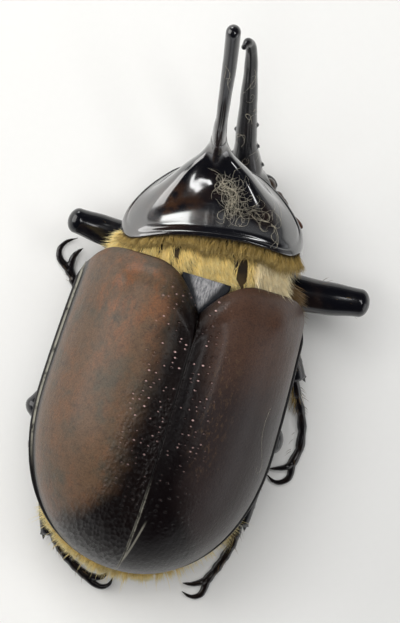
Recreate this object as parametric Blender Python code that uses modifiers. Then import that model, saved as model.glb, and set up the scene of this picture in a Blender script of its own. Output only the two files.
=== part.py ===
"""Golofa beetle: a dried major male, whole and life-size, resting on its feet as in a museum drawer.

Sizes are millimetres in the body frame until a mesh is stored in metres: the wing cases meet on x = 0,
+Y points to the head, +X is the beetle's right, +Z is up and the floor is z = 0.
"""

import math
import random
from dataclasses import dataclass, field

import bmesh
import bpy
from mathutils import Euler, Matrix, Vector
from mathutils.bvhtree import BVHTree

MM = 0.001
GAP = 0.3
INFLATE = 0.36
GROUND_SIDE = 120.0

# Wing cases
CASE_HALF_WIDTH = 10.0
CASE_RIM = 0.3
CASE_THICKNESS = 0.9
CASE_APEX_Y = -13.95
CASE_WIDEST_Y = -1.0
CASE_BASE_Y = 12.1
CASE_MARGIN_Z = 10.3
CASE_DOME = 9.7
CASE_BASE_DROP = 1.6
SCUTELLUM_TIP_Y = 8.65
SCUTELLUM_BASE_Y = 11.6

# Trunk under the wing cases
TRUNK_INSET = CASE_THICKNESS + GAP + 0.28
TRUNK_FRONT_Y = 8.8
ABDOMEN_FRONT_Y = -3.0
ABDOMEN_REAR_Y = -11.2
PYGIDIUM_REAR_Y = -13.75
BELLY_Z = 5.0

# Feet
FOOT_JOINTS = 5
FOOT_START = 0.45

# Prothorax, in its own frame: origin on the middle of the hind edge, y forward, z up
PROTHORAX_REAR = Vector((-0.75, 15.0, 17.4))
PROTHORAX_PITCH = 40.0
PROTHORAX_YAW = 5.0
PROTHORAX_LEAN = 8.0
DISC_OUTLINE = [
    (0.0, 0.42),
    (2.6, 0.42),
    (4.5, 0.42),
    (5.9, 0.55),
    (6.95, 1.15),
    (7.62, 2.6),
    (7.4, 4.1),
    (6.35, 5.6),
    (4.95, 7.1),
    (3.1, 8.6),
    (0.0, 9.4),
]
DISC_LENGTH = 9.4
DISC_HALF_SPAN = 7.95
DISC_HEIGHT = 4.5
DISC_FRONT_HEIGHT = 3.1
FLANK_SLOPE = 2.1
REAR_SLOPE = 4.6
FRONT_SLOPE = 2.4
DISC_FLOOR = -5.3
HORN_BASE = Vector((0.0, 7.4, 4.1))
HORN_BASE_HALF_WIDTH = 0.8
HORN_BASE_HALF_LENGTH = 1.1
HORN_START = HORN_BASE + Vector((0.0, -0.1, 1.1))
STERNUM_DEPTH = 4.2

# Horns, as points of the body frame
HORN_PATH = [(-2.85, 24.7, 17.7), (-3.24, 26.1, 19.4), (-3.95, 28.9, 22.2), (-4.62, 31.2, 24.6)]
HORN_HALF_WIDTHS = [0.74, 0.62, 0.55, 0.54, 0.56]
HORN_HALF_DEPTHS = [1.0, 0.86, 0.74, 0.66, 0.7]
HEAD_HORN_PATH = [
    (1.9, 20.4, 5.6),
    (1.4, 21.6, 7.0),
    (0.4, 23.95, 9.6),
    (-0.7, 26.9, 13.3),
    (-1.56, 29.2, 16.3),
    (-2.2, 30.7, 18.2),
    (-2.7, 31.1, 19.3),
    (-3.0, 30.6, 20.0),
]
HEAD_HORN_HALF_WIDTHS = [2.0, 1.4, 0.92, 0.74, 0.58, 0.48, 0.38, 0.26]
HEAD_HORN_HALF_DEPTHS = [1.5, 1.25, 0.95, 0.78, 0.62, 0.5, 0.4, 0.26]

# Head, in its own frame: origin at its centre, y forward, z up
HEAD_PLACE = Vector((1.5, 11.2, -6.6))
HEAD_PITCH = 4.0
HEAD_YAW = 9.0
HEAD_HALF_WIDTH = 3.1
HEAD_LENGTH = 5.2
EYE_RADIUS = 0.85
EYE_PLACE = Vector((2.75, 0.1, 0.1))

# Hair, as flat locks that taper
LOCK_HALF_WIDTH = 0.82
LOCK_HALF_THICKNESS = 0.37
LOCK_ROOT_DEPTH = 0.55
RUFF_ROWS = 3
RUFF_LOCKS_IN_ROW = 17
RUFF_LOCK_LENGTH = 3.1
RUFF_REACH = 112.0
RUFF_AXIS = Vector((-0.4, 0.0, 12.2))
RUFF_FRONT_Y = 14.1
RUFF_ROW_STEP = 0.85
FRINGE_LOCKS = 28
FRINGE_LOCK_LENGTH = 3.2
FRINGE_SHORTEST = 0.72
FRINGE_PARTING = 0.45
FRINGE_REACH = 80.0
FRINGE_CENTRE = Vector((0.0, -6.5, 8.6))

BLACK = (0.012, 0.010, 0.009)
CASE_BROWN = (0.085, 0.040, 0.028)
BELLY_BROWN = (0.050, 0.022, 0.014)
HAIR_GOLD = (0.56, 0.37, 0.13)


def degrees(x=0.0, y=0.0, z=0.0):
    """Rotation matrix of three angles in degrees, applied in the order x, y, z."""
    return Euler([math.radians(angle) for angle in (x, y, z)], "XYZ").to_matrix().to_4x4()


PROTHORAX = (
    Matrix.Translation(PROTHORAX_REAR)
    @ degrees(z=PROTHORAX_YAW)
    @ degrees(x=-PROTHORAX_PITCH)
    @ degrees(y=-PROTHORAX_LEAN)
)
HEAD = PROTHORAX @ Matrix.Translation(HEAD_PLACE) @ degrees(z=HEAD_YAW) @ degrees(x=-HEAD_PITCH)


def signed_power(value, power):
    """Keeps the sign of value and raises its size to power."""
    return math.copysign(abs(value) ** power, value)


def blend(a, b, t):
    """Straight blend from a to b."""
    return a + (b - a) * t


def clear_scene():
    """Removes every object of the starting scene."""
    for obj in list(bpy.data.objects):
        bpy.data.objects.remove(obj, do_unlink=True)


def new_collection(name):
    """A collection linked to the scene."""
    collection = bpy.data.collections.new(name)
    bpy.context.scene.collection.children.link(collection)
    return collection


def material(name, colour, roughness, metallic=0.0):
    """A Principled material of one colour."""
    made = bpy.data.materials.new(name)
    made.use_nodes = True
    shader = made.node_tree.nodes["Principled BSDF"]
    shader.inputs["Base Color"].default_value = (*colour, 1.0)
    shader.inputs["Roughness"].default_value = roughness
    shader.inputs["Metallic"].default_value = metallic
    return made


def mesh_object(name, bm, collection, frame=Matrix.Identity(4)):
    """Stores a bmesh in millimetres of the given frame as an object in metres."""
    bmesh.ops.recalc_face_normals(bm, faces=bm.faces)
    bmesh.ops.scale(bm, vec=(MM, MM, MM), verts=bm.verts)
    mesh = bpy.data.meshes.new(name)
    bm.to_mesh(mesh)
    bm.free()
    obj = bpy.data.objects.new(name, mesh)
    collection.objects.link(obj)
    place = frame.copy()
    place.translation = frame.translation * MM
    obj.matrix_world = place
    bpy.context.view_layer.update()
    return obj


def evaluated_mesh(obj):
    """A new mesh with the object's modifiers applied."""
    bpy.context.view_layer.update()
    graph = bpy.context.evaluated_depsgraph_get()
    return bpy.data.meshes.new_from_object(obj.evaluated_get(graph))


def keep_largest(mesh):
    """Deletes every closed surface of the mesh but the one with the largest volume."""
    bm = bmesh.new()
    bm.from_mesh(mesh)
    waiting = set(bm.faces)
    shells = []
    while waiting:
        shell = {waiting.pop()}
        edge_of_shell = list(shell)
        while edge_of_shell:
            face = edge_of_shell.pop()
            for edge in face.edges:
                if len(edge.link_faces) != 2:
                    continue
                for other in edge.link_faces:
                    if other in waiting:
                        waiting.remove(other)
                        shell.add(other)
                        edge_of_shell.append(other)
        shells.append(shell)
    shells.sort(key=shell_volume)
    for shell in shells[:-1]:
        bmesh.ops.delete(bm, geom=list(shell), context="FACES")
    bm.to_mesh(mesh)
    bm.free()


def shell_volume(faces):
    """Volume that a closed set of faces holds."""
    total = 0.0
    for face in faces:
        corners = [vert.co for vert in face.verts]
        for a, b in zip(corners[1:], corners[2:]):
            total += corners[0].dot(a.cross(b)) / 6
    return abs(total)


def apply_modifiers(obj):
    """Replaces the object's mesh by the evaluated one and keeps its largest surface."""
    mesh = evaluated_mesh(obj)
    obj.modifiers.clear()
    obj.data = mesh
    keep_largest(mesh)


def fuse(obj, pieces):
    """Joins closed pieces to the object with one Boolean union and removes them."""
    group = new_collection(obj.name + "_pieces")
    for piece in pieces:
        for old in list(piece.users_collection):
            old.objects.unlink(piece)
        group.objects.link(piece)
    union = obj.modifiers.new("union", "BOOLEAN")
    union.operation = "UNION"
    union.operand_type = "COLLECTION"
    union.collection = group
    union.solver = "MANIFOLD"
    apply_modifiers(obj)
    for piece in list(group.objects):
        bpy.data.objects.remove(piece, do_unlink=True)
    bpy.data.collections.remove(group)


def cut(obj, cutter):
    """Takes the cutter's solid away from the object."""
    difference = obj.modifiers.new("cut", "BOOLEAN")
    difference.operation = "DIFFERENCE"
    difference.object = cutter
    difference.solver = "MANIFOLD"
    apply_modifiers(obj)


def new_cutter(mesh, place):
    """A hidden helper object that is only cut with."""
    cutter = bpy.data.objects.new("cutter", mesh)
    CUTTERS.objects.link(cutter)
    cutter.matrix_world = place
    cutter.hide_render = True
    cutter.display_type = "WIRE"
    return cutter


def clear_of(obj, *neighbours):
    """Cuts the object back until it keeps the gap to each neighbour, grown a little along its normals."""
    for neighbour in neighbours:
        cutter = new_cutter(evaluated_mesh(neighbour), neighbour.matrix_world)
        grow = cutter.modifiers.new("grow", "DISPLACE")
        grow.strength = INFLATE * MM
        grow.mid_level = 0.0
        cut(obj, cutter)
        bpy.data.objects.remove(cutter, do_unlink=True)


def loft(rings, closed=True):
    """A bmesh with quads between rings of equal count, capped at both ends when closed."""
    bm = bmesh.new()
    rows = [[bm.verts.new(point) for point in ring] for ring in rings]
    count = len(rows[0])
    for lower, upper in zip(rows, rows[1:]):
        for i in range(count):
            j = (i + 1) % count
            bm.faces.new((lower[i], lower[j], upper[j], upper[i]))
    if closed:
        bm.faces.new(reversed(rows[0]))
        bm.faces.new(rows[-1])
    return bm


def oval(centre, side, up, half_width, half_height, count, power=2.0):
    """A closed ring on a superellipse."""
    ring = []
    for i in range(count):
        angle = 2 * math.pi * (i + 0.5) / count
        across = signed_power(math.cos(angle), 2 / power) * half_width
        along = signed_power(math.sin(angle), 2 / power) * half_height
        ring.append(centre + side * across + up * along)
    return ring


def curve(a, b, c, d, t):
    """Point between b and c of a smooth curve that also runs through a and d."""
    return (b * 2 + (c - a) * t + (a * 2 - b * 5 + c * 4 - d) * t * t + (b * 3 - a - c * 3 + d) * t**3) / 2


def smooth_points(points, per_span):
    """Points and positions in the list, along a smooth curve through the given points."""
    given = [Vector(point) for point in points]
    ends = [given[0] * 2 - given[1], *given, given[-1] * 2 - given[-2]]
    found = []
    for i in range(len(given) - 1):
        for k in range(per_span):
            t = k / per_span
            found.append((curve(*ends[i : i + 4], t), i + t))
    found.append((given[-1], float(len(given) - 1)))
    return found


def value_at(values, position):
    """Value between the entries of a list."""
    i = min(int(position), len(values) - 2)
    return blend(values[i], values[i + 1], position - i)


def limb_rings(points, widths, heights, up, sides=8, per_span=3, power=2.0, round_ends=(True, True)):
    """Oval rings along a smooth curve, closed round at the chosen ends."""
    path = smooth_points(points, per_span)
    last = len(path) - 1
    rings = []
    for i, (place, position) in enumerate(path):
        along = (path[min(i + 1, last)][0] - path[max(i - 1, 0)][0]).normalized()
        side = along.cross(Vector(up)).normalized()
        top = side.cross(along)
        width, height = value_at(widths, position), value_at(heights, position)
        rings.append(oval(place, side, top, width, height, sides, power))
        for at_end, which, step in ((i == 0, 0, -1), (i == last, 1, 1)):
            if not at_end or not round_ends[which]:
                continue
            reach = min(width, height)
            caps = [
                oval(place + along * step * reach * out, side, top, width * size, height * size, sides, power)
                for out, size in ((0.55, 0.82), (0.9, 0.42))
            ]
            rings = caps[::-1] + rings if step < 0 else rings + caps
    return rings


def limb(*args, **options):
    """A closed bmesh along a smooth curve, from the rings of limb_rings."""
    return loft(limb_rings(*args, **options))


def spike(points, sizes, up, per_span=1):
    """A small pointed piece of five sides."""
    return limb(points, sizes, sizes, up, sides=5, per_span=per_span, round_ends=(False, False))


def ellipsoid(centre, radii, rings=6, segments=10):
    """A closed egg from a sphere."""
    bm = bmesh.new()
    bmesh.ops.create_uvsphere(bm, u_segments=segments, v_segments=rings, radius=1.0)
    bmesh.ops.scale(bm, vec=radii, verts=bm.verts)
    bmesh.ops.translate(bm, vec=centre, verts=bm.verts)
    return bm


def case_half_width(y):
    """Half width of the two wing cases together at y, without the raised rim."""
    if y < CASE_WIDEST_Y:
        back = min(1.0, (CASE_WIDEST_Y - y) / (CASE_WIDEST_Y - CASE_APEX_Y))
        return CASE_HALF_WIDTH * (1 - back**2.15) ** (1 / 2.15)
    forward = (y - CASE_WIDEST_Y) / (CASE_BASE_Y - CASE_WIDEST_Y)
    return CASE_HALF_WIDTH * (1 - 0.06 * forward**1.6)


def case_dome(y):
    """Height of the wing cases above their margin, on the midline."""
    if y < CASE_WIDEST_Y:
        back = min(1.0, (CASE_WIDEST_Y - y) / (CASE_WIDEST_Y - CASE_APEX_Y))
        return CASE_DOME * (1 - back**2.5) ** 0.4
    forward = (y - CASE_WIDEST_Y) / (CASE_BASE_Y - CASE_WIDEST_Y)
    return CASE_DOME * (1 - 0.1 * forward**2)


def case_front_y(a):
    """Front edge of a wing case: a runs from 0 on the midline to 1 at the shoulder."""
    if a < 0.5:
        return CASE_BASE_Y - (CASE_BASE_Y - SCUTELLUM_TIP_Y) * (1 - a / 0.5) ** 2.2
    return CASE_BASE_Y - 2.0 * ((a - 0.5) / 0.5) ** 6.5


def case_point(a, y, inset=0.0):
    """Point on the right wing case, or on the dome that lies inset below it."""
    width = max(case_half_width(y) - inset, 0.1)
    dome = max(case_dome(y) - inset, 0.1)
    drop = max(0.0, 1 - (case_front_y(a) - y) / 3.0)
    shoulder = 0.45 * math.exp(-((a - 0.74) ** 2 / 0.012 + (y - 9.6) ** 2 / 2.4))
    height = dome * (1 - a**2.3) ** 0.5 + (shoulder if inset == 0 else 0.0)
    return Vector((a * width, y, CASE_MARGIN_Z + height - CASE_BASE_DROP * drop**2 * (1 - a**6)))


def case_surface():
    """The right wing case as an open sheet of rows from base to apex."""
    columns = [math.sin(math.radians(angle)) for angle in (0, 10, 20, 30, 41, 52, 63, 73, 82, 90)]
    rows = [0, 0.035, 0.1, 0.2, 0.32, 0.45, 0.57, 0.68, 0.78, 0.865, 0.93, 0.97, 0.99, 1]
    bm = bmesh.new()
    grid = []
    for t in rows:
        line = []
        for a in columns:
            y = blend(case_front_y(a), CASE_APEX_Y + 0.006, t)
            line.append(case_point(a, y))
        rim = CASE_RIM * (1 - t**12)
        line.append(line[-1] + Vector((rim, 0, -0.25)))
        for point in line:
            point.x += GAP / 2
        grid.append([bm.verts.new(point) for point in line])
    for front, back in zip(grid, grid[1:]):
        for i in range(len(front) - 1):
            bm.faces.new((front[i], front[i + 1], back[i + 1], back[i]))
    return bm


def wing_case(name, mirrored):
    """A wing case: a domed sheet with a raised rim, thickened inwards."""
    bm = case_surface()
    if mirrored:
        bmesh.ops.scale(bm, vec=(-1, 1, 1), verts=bm.verts)
    obj = mesh_object(name, bm, PARTS)
    up = obj.data.polygons[len(obj.data.polygons) // 2].normal
    if up.z < 0:
        obj.data.flip_normals()
    shell = obj.modifiers.new("thickness", "SOLIDIFY")
    shell.thickness = CASE_THICKNESS * MM
    shell.offset = -1.0
    shell.use_even_offset = False
    obj.data.materials.append(material(name, CASE_BROWN, 0.32))
    return obj


def belly_z(y):
    """Lowest level of the trunk at y."""
    if y > -4.0:
        return BELLY_Z
    return BELLY_Z + 2.2 * ((-4.0 - y) / 7.2) ** 1.8


def trunk_ring(y, count=24):
    """A ring round the trunk: a dome under the wing cases above, a full belly below."""
    width = max(case_half_width(y) - TRUNK_INSET, 0.5)
    depth = CASE_MARGIN_Z - belly_z(y)
    ring = []
    for i in range(count):
        angle = 2 * math.pi * (i + 0.5) / count
        across = math.cos(angle)
        if math.sin(angle) > 0:
            point = case_point(abs(across), y, TRUNK_INSET)
            point.z -= 0.4
        else:
            point = Vector((0, y, CASE_MARGIN_Z - depth * (1 - abs(across) ** 2.6) ** 0.5))
        point.x = across * width
        ring.append(point)
    return ring


def trunk():
    """Hind thorax, and an abdomen with ringed plates, under the wing cases."""
    thorax_rows = [TRUNK_FRONT_Y, 6.0, 3.0, 0.0, ABDOMEN_FRONT_Y + GAP]
    thorax = mesh_object("metathorax", loft([trunk_ring(y) for y in thorax_rows]), PARTS)
    thorax.data.materials.append(material("metathorax", BELLY_BROWN, 0.45))
    rings = []
    plates = 5
    for plate in range(plates):
        for t, swell in ((0.0, 0.0), (0.8, 0.22)):
            y = blend(ABDOMEN_FRONT_Y, ABDOMEN_REAR_Y, (plate + t) / plates)
            ring = trunk_ring(y)
            for point in ring:
                if point.z < CASE_MARGIN_Z - 0.8:
                    point.z -= swell
            rings.append(ring)
    rings.append(trunk_ring(ABDOMEN_REAR_Y))
    abdomen = mesh_object("abdomen", loft(rings), PARTS)
    abdomen.data.materials.append(material("abdomen", BELLY_BROWN, 0.4))
    return thorax, abdomen


def pygidium():
    """The last plate of the abdomen, below the tip of the wing cases."""
    rings = []
    steps = 5
    for i in range(steps):
        t = i / (steps - 1)
        y = blend(ABDOMEN_REAR_Y - GAP, PYGIDIUM_REAR_Y, math.sin(t * math.pi / 2))
        width = max(case_half_width(y) - 1.1, 0.8)
        depth = blend(CASE_MARGIN_Z - belly_z(ABDOMEN_REAR_Y) - 0.2, 0.9, t**2.2)
        top = CASE_MARGIN_Z - 0.6
        ring = []
        for k in range(12):
            angle = math.pi * k / 11
            ring.append(Vector((math.cos(angle) * width, y, top - depth * signed_power(math.sin(angle), 0.8))))
        rings.append(ring)
    obj = mesh_object("pygidium", loft(rings), PARTS)
    obj.data.materials.append(material("pygidium", BELLY_BROWN, 0.4))
    return obj


def mesothorax():
    """The neck between wing cases and prothorax, under the ruff."""
    rings = []
    for y in (TRUNK_FRONT_Y + GAP, 10.3, 11.6):
        ring = trunk_ring(y)
        for point in ring:
            if point.z > CASE_MARGIN_Z:
                point.z = min(point.z, 15.6)
            point.x *= 0.97 - 0.05 * (y - TRUNK_FRONT_Y)
        rings.append(ring)
    for y, width, low, high in ((12.5, 7.4, 7.6, 15.5), (13.9, 6.7, 8.8, 16.2), (15.6, 6.0, 9.6, 16.7)):
        centre = Vector((-0.3, y, (low + high) / 2))
        rings.append(oval(centre, Vector((1, 0, 0)), Vector((0, 0, 1)), width, (high - low) / 2, 24, 2.5))
    obj = mesh_object("mesothorax", loft(rings), PARTS)
    obj.data.materials.append(material("mesothorax", HAIR_GOLD, 0.7))
    return obj


def scutellum():
    """The small shield between the bases of the wing cases."""
    rings = []
    for y in (SCUTELLUM_BASE_Y, 11.0, 10.3, 9.6, SCUTELLUM_TIP_Y + 0.45):
        reach = min(1.0, (CASE_BASE_Y - min(y, 11.2)) / (CASE_BASE_Y - SCUTELLUM_TIP_Y))
        a = 0.5 * (1 - reach ** (1 / 2.2))
        width = max(a * case_half_width(y) - GAP, 0.25)
        top = case_point(0.0, min(y, 10.4)).z - 0.55
        ring = [
            Vector((-width, y, top - 0.45)),
            Vector((-width * 0.6, y, top - 0.1)),
            Vector((0, y, top)),
            Vector((width * 0.6, y, top - 0.1)),
            Vector((width, y, top - 0.45)),
            Vector((width * 0.9, y, top - 1.1)),
            Vector((-width * 0.9, y, top - 1.1)),
        ]
        rings.append(ring)
    obj = mesh_object("scutellum", loft(rings), PARTS)
    obj.data.materials.append(material("scutellum", BLACK, 0.3))
    return obj


def disc_outline(angle):
    """Plan outline of the pronotum, in its own frame: angle 0 is its right side and a quarter turn its front."""
    given = [Vector(point) for point in DISC_OUTLINE]
    ends = [given[1] * Vector((-1, 1)), *given, given[-2] * Vector((-1, 1))]
    spans = len(given) - 1
    share = spans * (0.5 + math.asin(math.sin(angle)) / math.pi)
    i = min(int(share), spans - 1)
    point = curve(*ends[i : i + 4], share - i)
    return math.copysign(point.x, math.cos(angle)), point.y


def disc_height(x, y):
    """Height of the pronotum's dome above the level of its side edges."""
    top = blend(DISC_HEIGHT, DISC_FRONT_HEIGHT, (max(y, 0.0) / DISC_LENGTH) ** 1.5)
    return top * (1 - min(1.0, abs(x) / DISC_HALF_SPAN) ** 2.4) ** 0.5 - DISC_HEIGHT


def pronotum_ring(f, count=28):
    """Ring of the pronotum's upper side: f is 1 on the outline and 0 round the horn's root."""
    ring = []
    peak = HORN_BASE.z - disc_height(0, HORN_BASE.y)
    for i in range(count):
        angle = 2 * math.pi * (i + 0.5) / count
        outer_x, outer_y = disc_outline(angle)
        inner_x = HORN_BASE_HALF_WIDTH * math.cos(angle)
        inner_y = HORN_BASE.y + HORN_BASE_HALF_LENGTH * math.sin(angle)
        x, y = blend(inner_x, outer_x, f), blend(inner_y, outer_y, f)
        slope = blend(FLANK_SLOPE, REAR_SLOPE if math.sin(angle) < 0 else FRONT_SLOPE, math.sin(angle) ** 2)
        ring.append(Vector((x, y, disc_height(x, y) + peak * (1 - f) ** slope)))
    if f == 0:
        for point in ring:
            point.z = HORN_BASE.z
    return ring


def pronotum():
    """The pronotum: a domed shield that sweeps up into the root of its horn."""
    floor = []
    for point in pronotum_ring(1.0):
        rear = max(0.0, 1 - point.y / 3.0)
        floor.append(Vector((point.x * 0.95, blend(point.y * 0.97 + 0.1, 2.7, rear), DISC_FLOOR)))
    fractions = (1.0, 0.93, 0.8, 0.64, 0.48, 0.33, 0.21, 0.12, 0.055, 0.0)
    obj = mesh_object("pronotum", loft([floor] + [pronotum_ring(f) for f in fractions]), PARTS, PROTHORAX)
    obj.data.materials.append(material("pronotum", BLACK, 0.12))
    return obj


def pronotal_horn():
    """The horn of the pronotum, from the ring of its root to a slightly thickened round tip."""
    to_local = PROTHORAX.inverted()
    path = [HORN_START] + [to_local @ Vector(point) for point in HORN_PATH]
    sizes = (HORN_HALF_WIDTHS, HORN_HALF_DEPTHS)
    body = limb_rings(path, *sizes, (0, -1, 0), sides=14, per_span=2, round_ends=(False, True))
    foot = HORN_BASE + Vector((0, 0, GAP))
    right, rear = Vector((1, 0, 0)), Vector((0, -1, 0))
    root = oval(foot, right, rear, HORN_BASE_HALF_WIDTH, HORN_BASE_HALF_LENGTH, 14)
    obj = mesh_object("pronotal_horn", loft([root] + body), PARTS, PROTHORAX)
    obj.data.materials.append(material("pronotal_horn", BLACK, 0.12))
    return obj


def prosternum():
    """Underside of the prothorax, which carries the fore legs."""
    rings = []
    for t in (0.0, 0.3, 0.6, 0.85, 1.0):
        ring = []
        for point in pronotum_ring(1.0, 24):
            rear = max(0.0, 1 - point.y / 3.0)
            y = blend(point.y * 0.97 + 0.1, 2.7, rear)
            shrink = 1 - 0.45 * t**1.7
            z = DISC_FLOOR - GAP - STERNUM_DEPTH * t
            ring.append(Vector((point.x * 0.94 * shrink, blend(y, 6.2, 0.42 * t), z)))
        rings.append(ring)
    obj = mesh_object("prosternum", loft(rings), PARTS, PROTHORAX)
    obj.data.materials.append(material("prosternum", BELLY_BROWN, 0.4))
    return obj


def head():
    """The head: a flattened box that narrows to a notched front edge."""
    half = HEAD_LENGTH / 2
    rows = [
        (-half, 2.3, -1.0, 1.2),
        (-half + 0.9, HEAD_HALF_WIDTH - 0.1, -1.5, 1.7),
        (-0.2, HEAD_HALF_WIDTH, -1.6, 1.9),
        (1.0, 2.75, -1.45, 1.75),
        (2.0, 2.1, -1.0, 1.1),
        (half, 1.6, -0.55, 0.55),
    ]
    rings = []
    for y, width, low, high in rows:
        centre = Vector((0, y, (low + high) / 2))
        rings.append(oval(centre, Vector((1, 0, 0)), Vector((0, 0, 1)), width, (high - low) / 2, 16, 2.4))
    obj = mesh_object("head", loft(rings), PARTS, HEAD)
    teeth = []
    for side in (-1, 1):
        points = [(side * 0.75, half - 0.5, 0.1), (side * 0.85, half + 0.35, 0.35), (side * 0.9, half + 0.7, 0.75)]
        tooth = limb(points, [0.5, 0.4, 0.15], [0.4, 0.3, 0.15], (1, 0, 0), sides=6, per_span=1)
        teeth.append(mesh_object("clypeal_tooth", tooth, PARTS, HEAD))
    fuse(obj, teeth)
    obj.data.materials.append(material("head", BLACK, 0.16))
    return obj


def head_horn():
    """The long horn of the head: it rises forward, bears small teeth and hooks back at the tip."""
    bm = limb(
        HEAD_HORN_PATH,
        HEAD_HORN_HALF_WIDTHS,
        HEAD_HORN_HALF_DEPTHS,
        (0, -0.7, 1),
        sides=10,
        per_span=2,
        power=2.3,
    )
    obj = mesh_object("cephalic_horn", bm, PARTS)
    teeth = []
    path = smooth_points(HEAD_HORN_PATH, 8)
    for position, side, length in ((1.15, 1, 0.85), (1.75, 1, 0.95), (2.35, 1, 0.5), (1.5, -1, 0.5), (2.2, -1, 0.45)):
        i = min(range(len(path)), key=lambda k: abs(path[k][1] - position))
        along = (path[i + 1][0] - path[i - 1][0]).normalized()
        across = along.cross(Vector((0, -0.7, 1))).normalized() * side
        edge = path[i][0] + across * value_at(HEAD_HORN_HALF_WIDTHS, position)
        points = [edge - across * 0.6, edge + across * length * 0.35 + along * 0.1, edge + across * length * 0.7]
        tooth = spike(points, [0.55, 0.4, 0.12], along)
        teeth.append(mesh_object("horn_tooth", tooth, PARTS))
    fuse(obj, teeth)
    obj.data.materials.append(material("cephalic_horn", BLACK, 0.14))
    return obj


def eyes():
    """Two round eyes, sunk in the sides of the head."""
    made = []
    for name, side in (("eye_left", -1), ("eye_right", 1)):
        place = Vector((EYE_PLACE.x * side, EYE_PLACE.y, EYE_PLACE.z))
        bm = ellipsoid(place, (EYE_RADIUS * 0.85, EYE_RADIUS, EYE_RADIUS), 8, 12)
        obj = mesh_object(name, bm, PARTS, HEAD)
        obj.data.materials.append(material(name, (0.02, 0.014, 0.01), 0.08))
        made.append(obj)
    return made


def antenna(name, side):
    """A jointed antenna with a leaved club, folded back beside the mouth."""
    root = Vector((side * 2.3, 0.7, -1.1))
    path = [root, root + Vector((side * 1.3, 0.3, -0.5)), root + Vector((side * 2.1, -0.4, -1.0))]
    path.append(root + Vector((side * 2.2, -1.4, -1.3)))
    beads = [0.34, 0.27, 0.36, 0.27, 0.36, 0.27, 0.36]
    points = [place for place, _ in smooth_points(path, 2)]
    bm = limb(points, beads, beads, (0.2, 0.3, 1), sides=6, per_span=1)
    obj = mesh_object(name, bm, PARTS, HEAD)
    leaves = []
    for turn in (-26, 0, 26):
        bm = ellipsoid((0, -0.9, 0), (0.3, 1.1, 0.5), 5, 6)
        leaf = mesh_object("leaf", bm, PARTS, HEAD @ Matrix.Translation(path[-1]) @ degrees(z=side * 12 + turn))
        leaves.append(leaf)
    fuse(obj, leaves)
    obj.data.materials.append(material(name, (0.06, 0.022, 0.012), 0.35))
    return obj


def mouthparts():
    """Jaws beside the front edge, and a lower lip with two jointed feelers."""
    made = []
    for name, side in (("mandible_left", -1), ("mandible_right", 1)):
        points = [(side * 1.5, 0.6, -1.5), (side * 1.75, 1.9, -1.25), (side * 1.3, 3.1, -0.95), (side * 0.9, 3.5, -0.8)]
        bm = limb(points, [0.6, 0.65, 0.45, 0.2], [0.4, 0.38, 0.3, 0.2], (0, 0, 1), sides=8, per_span=2)
        obj = mesh_object(name, bm, PARTS, HEAD)
        obj.data.materials.append(material(name, BLACK, 0.25))
        made.append(obj)
    lip = mesh_object("labium", ellipsoid((0, 0.2, -2.1), (0.95, 1.6, 0.6), 8, 10), PARTS, HEAD)
    palps = []
    for side in (-1, 1):
        points = [(side * 0.6, 0.8, -2.2), (side * 1.2, 1.6, -2.75), (side * 1.15, 2.5, -2.8), (side * 0.8, 3.1, -2.6)]
        bm = limb(points, [0.26, 0.3, 0.27, 0.26], [0.26, 0.3, 0.27, 0.26], (0, 0, 1), sides=6, per_span=2)
        palps.append(mesh_object("palp", bm, PARTS, HEAD))
    fuse(lip, palps)
    lip.data.materials.append(material("labium", BELLY_BROWN, 0.4))
    return made + [lip]


@dataclass
class Leg:
    """One leg: its joints and foot as points of the body frame, and the sizes of its pieces."""

    name: str
    hip: Vector
    knee: Vector
    ankle: Vector
    foot: list
    claws: list
    thigh: float = 1.5
    shin: float = 0.8
    teeth: int = 2
    tooth_side: float = 1.0
    bow: Vector = field(default_factory=Vector)
    nodes: dict = field(default_factory=dict)


def on_prothorax(x, y, z):
    """Point of the body frame from one of the prothorax."""
    return PROTHORAX @ Vector((x, y, z))


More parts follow.
